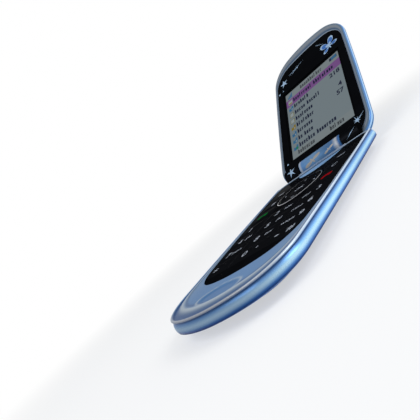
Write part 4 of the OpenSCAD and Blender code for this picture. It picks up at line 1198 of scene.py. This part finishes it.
def buildScreen(s):
    # Flat shapes in layers 4 micrometres apart, in the display's own plane.
    x0, x1, low, high = -display["half"], display["half"], display["low"], display["high"]
    barEnd = high - s["header"]
    layers = [("ground", rect(x0, low, x1, high), 0), ("bar", rect(x0, barEnd, x1, high), 1),
              ("bar", rect(x0, low, x1, low + s["footer"]), 1),
              ("mark", rect(x0, barEnd - s["selected"], x1, barEnd), 1)]
    rng = np.random.default_rng(11)
    for row, (down, words, icon) in enumerate(s["rows"]):
        y = high - down
        layers += rowIcon(icon, x0 + s["iconX"], y, row == 0, row == len(s["rows"]) - 1)
        x = x0 + s["textX"]
        for count in words:
            layers += [("navy", part, 2) for part in greekText(x, y - s["textDrop"], count, "list", rng)]
            x += (count + s["wordGap"]) * textStyle["list"][0]
        if row in s["numbers"]:
            number, digits = s["numbers"][row], s["digits"]
            centre = (x1 - digits["right"] - digits["half"] * len(number), y - digits["drop"])
            word = letters(number, digits["size"], centre, digits["wide"], digits["bold"])
            layers.append(("navy", word, 2))
    for x, y, count, style in ((-7.2, high - 3.5, 11, "title"), (x0 + 3.6, low + 1.2, 8, "left"),
                               (x0 + 22.4, low + 1.2, 6, "right")):
        layers += [("grey", part, 2) for part in greekText(x, y, count, style, rng)]
    signal = s["signal"]
    for k in range(4):
        left, top = x0 + signal["x"] + signal["pitch"] * k, high - signal["top"] + signal["rise"] * k
        layers.append(("sky", rect(left, high - signal["foot"], left + signal["wide"], top), 2))
    layers += [("navy", rect(x1 - 5.3, high - 2.9, x1 - 0.9, high - 0.9), 2),       # the battery sign
               ("sky", rect(x1 - 4.3, high - 2.7, x1 - 1.1, high - 1.1), 3)]
    parts = [(atHeight(xy, s["z"] + s["step"] * level), own) for _, (xy, own), level in layers]
    points, faces = joinParts(parts)
    names = list(screenInks)
    slots = [names.index(ink) for ink, (_, own), _ in layers for _ in own]
    piece = meshPiece("display_picture", onLid(points), faces, list(screenInks.values()), "lid",
                      smooth=False, slots=slots)


buildScreen(screenList)

surround = {"half": 19.2, "low": 8.5, "high": 55.6, "z": -1.24}


def buildSurround(s):
    # A black sheet behind the window's opening, round the display.
    flat, faces = rect(-s["half"], s["low"], s["half"], s["high"])
    points = onLid(atHeight(flat, s["z"]))
    piece = meshPiece("display_surround", points, faces, [blackGloss], "lid", smooth=False)


buildSurround(surround)
print("screen drawn")


# Hidden sides and inner parts: what each is made of, what that gives the eye, and its nodes
innerPaints = [
    (plainFinish("underbodyLacquer", "#4f7ab4", 0.3, (0.34, 0.44)), ["base_lower_shell"]),  # the satin blue
    (blackGloss, ["keypad_plate", "lid_knuckles", "outer_window"]),
    (silverTrim, ["volume_rocker", "camera_bezel"]),
    (steel, ["dome_sheet", "shield_can", "sim_holder", "microphone", "vibration_motor", "data_connector",
             "base_screws", "lid_screws", "hinge_cartridge", "hinge_bush", "hinge_shaft", "display_module",
             "outer_display"]),
    # moulded silicone: matt, in a charcoal darker than the mat's own colour, painted shade in the gaps
    # between the keys
    (plainFinish("siliconeRubber", "#26272b", 0.0, (0.5, 0.6)), ["keymat", "nav_web"]),
    # solder resist over copper: green, with a slight gloss
    (plainFinish("solderResist", "#1f5a3a", 0.0, (0.3, 0.45)), ["main_board", "lid_board"]),
    # shrink-wrapped label film: dark and half dull
    (plainFinish("cellWrap", "#26282e", 0.0, (0.35, 0.5)), ["battery"]),
    # plated spring contacts: a warm mirror
    (plainFinish("goldPlating", "#c8a24a", 1.0, (0.2, 0.3)), ["battery_contacts"]),
    # printed PVC card: white and smooth
    (plainFinish("whiteCard", "#e6e1d2", 0.0, (0.4, 0.5)), ["sim_card"]),
    # unpainted moulded plastic of the antenna's carrier: a warm off-white
    (plainFinish("creamPlastic", "#cfcab8", 0.0, (0.4, 0.5)), ["antenna"]),
    # moulded frames of the two loudspeakers: plain black
    (plainFinish("blackPlastic", "#1d1e22", 0.0, (0.4, 0.5)), ["loudspeaker", "earpiece"]),
    # polyimide film of the flexible circuits: amber, with a sheen
    (plainFinish("amberFilm", "#b8752a", 0.0, (0.3, 0.4)), ["base_flex", "lid_flex"]),
    # the camera's moulded barrel: black, and smoother than the frames
    (plainFinish("lensPlastic", "#15161a", 0.0, (0.2, 0.3)), ["camera_module"]),
]
for paint, nodes in innerPaints:
    for node in nodes:
        mesh = frame["nodes"][node].data
        mesh.materials.clear()
        mesh.materials.append(paint)
print("inner parts painted")


def seenDirectly(tree):
    # 1 for what the camera sees straight on, mirrored or through glass, and 0 for the light on everything.
    rays = addNode(tree, "ShaderNodeLightPath").outputs
    seen = addNode(tree, "ShaderNodeMath", links={0: rays["Is Camera Ray"], 1: rays["Is Glossy Ray"]},
                   operation="MAXIMUM")
    seen = addNode(tree, "ShaderNodeMath", links={0: seen.outputs[0], 1: rays["Is Transmission Ray"]},
                   operation="MAXIMUM")
    return seen.outputs[0]


floorSet = {"radius": 1500, "sides": 96, "sink": 0.03, "colour": "#f4f4f4", "clearFrom": 100, "clearTo": 240,
            "nearShare": 0.55}


def buildFloor(s):
    # A disc of matt white paper under the phone. From clearFrom to clearTo millimetres away it turns, as a
    # smooth step of the distance, into plain white light, so that its edge never shows.
    mesh = bpy.data.meshes.new("floor")
    rim = atHeight(circle(s["sides"]) * s["radius"], -s["sink"]) * mm
    mesh.from_pydata(rim.tolist(), [], [list(range(s["sides"]))])
    floor = bpy.data.objects.new("floor", mesh)
    bpy.context.scene.collection.objects.link(floor)
    paper, tree, shader = newMaterial("seamlessPaper", {"Base Color": toLinear(s["colour"]), "Roughness": 0.9,
                                                        "Specular IOR Level": 0.1})
    surface = shader.outputs[0].links[0].to_socket
    place = addNode(tree, "ShaderNodeTexCoord")
    far = addNode(tree, "ShaderNodeVectorMath", links={0: place.outputs["Object"]}, operation="LENGTH")
    share = addNode(tree, "ShaderNodeMapRange",
                    {"From Min": s["clearFrom"] * mm, "From Max": s["clearTo"] * mm,
                     "To Min": s["nearShare"], "To Max": 1.0},
                    {"Value": far.outputs["Value"]}, interpolation_type="SMOOTHSTEP")
    blend = addNode(tree, "ShaderNodeMath", links={0: seenDirectly(tree), 1: share.outputs[0]},
                    operation="MULTIPLY")
    white = addNode(tree, "ShaderNodeEmission", {"Color": toLinear("#ffffff"), "Strength": 1.0})
    mixed = addNode(tree, "ShaderNodeMixShader",
                    links={0: blend.outputs[0], 1: shader.outputs[0], 2: white.outputs[0]})
    tree.links.new(mixed.outputs[0], surface)
    mesh.materials.append(paper)


buildFloor(floorSet)

worldSet = {"colour": "#f9fcff", "strength": 0.5}


def buildWorld(s):
    # White to the camera and in reflections, and a soft even light on everything else.
    world = bpy.data.worlds.new("studio")
    bpy.context.scene.world = world
    world.use_nodes = True
    tree = world.node_tree
    tree.nodes.clear()
    white = addNode(tree, "ShaderNodeBackground", {"Color": toLinear("#ffffff"), "Strength": 1.0})
    soft = addNode(tree, "ShaderNodeBackground", {"Color": toLinear(s["colour"]), "Strength": s["strength"]})
    pick = addNode(tree, "ShaderNodeMixShader",
                   links={0: seenDirectly(tree), 1: soft.outputs[0], 2: white.outputs[0]})
    addNode(tree, "ShaderNodeOutputWorld", links={"Surface": pick.outputs[0]})


buildWorld(worldSet)

lampSet = {"key": {"place": (280, 60, 240), "aim": (0, 0, 10), "size": 180, "power": 0.55,
                   "colour": "#ffffff"},
           "top": {"place": (-60, -220, 330), "aim": (0, 20, 10), "size": 240, "power": 0.5,
                   "colour": "#f4f8ff"}}


def addLamp(name, s):
    # A square soft box at its place, turned to its aim.
    data = bpy.data.lights.new(name, "AREA")
    data.size = s["size"] * mm
    data.energy = s["power"]
    data.color = toLinear(s["colour"])[:3]
    lamp = bpy.data.objects.new(name, data)
    lamp.location = Vector(s["place"]) * mm
    lamp.rotation_euler = (Vector(s["aim"]) - Vector(s["place"])).to_track_quat("-Z", "Y").to_euler()
    bpy.context.scene.collection.objects.link(lamp)


for name, lampValues in lampSet.items():
    addLamp(name, lampValues)

bpy.context.scene.view_settings.view_transform = "Standard"
print("studio lit")
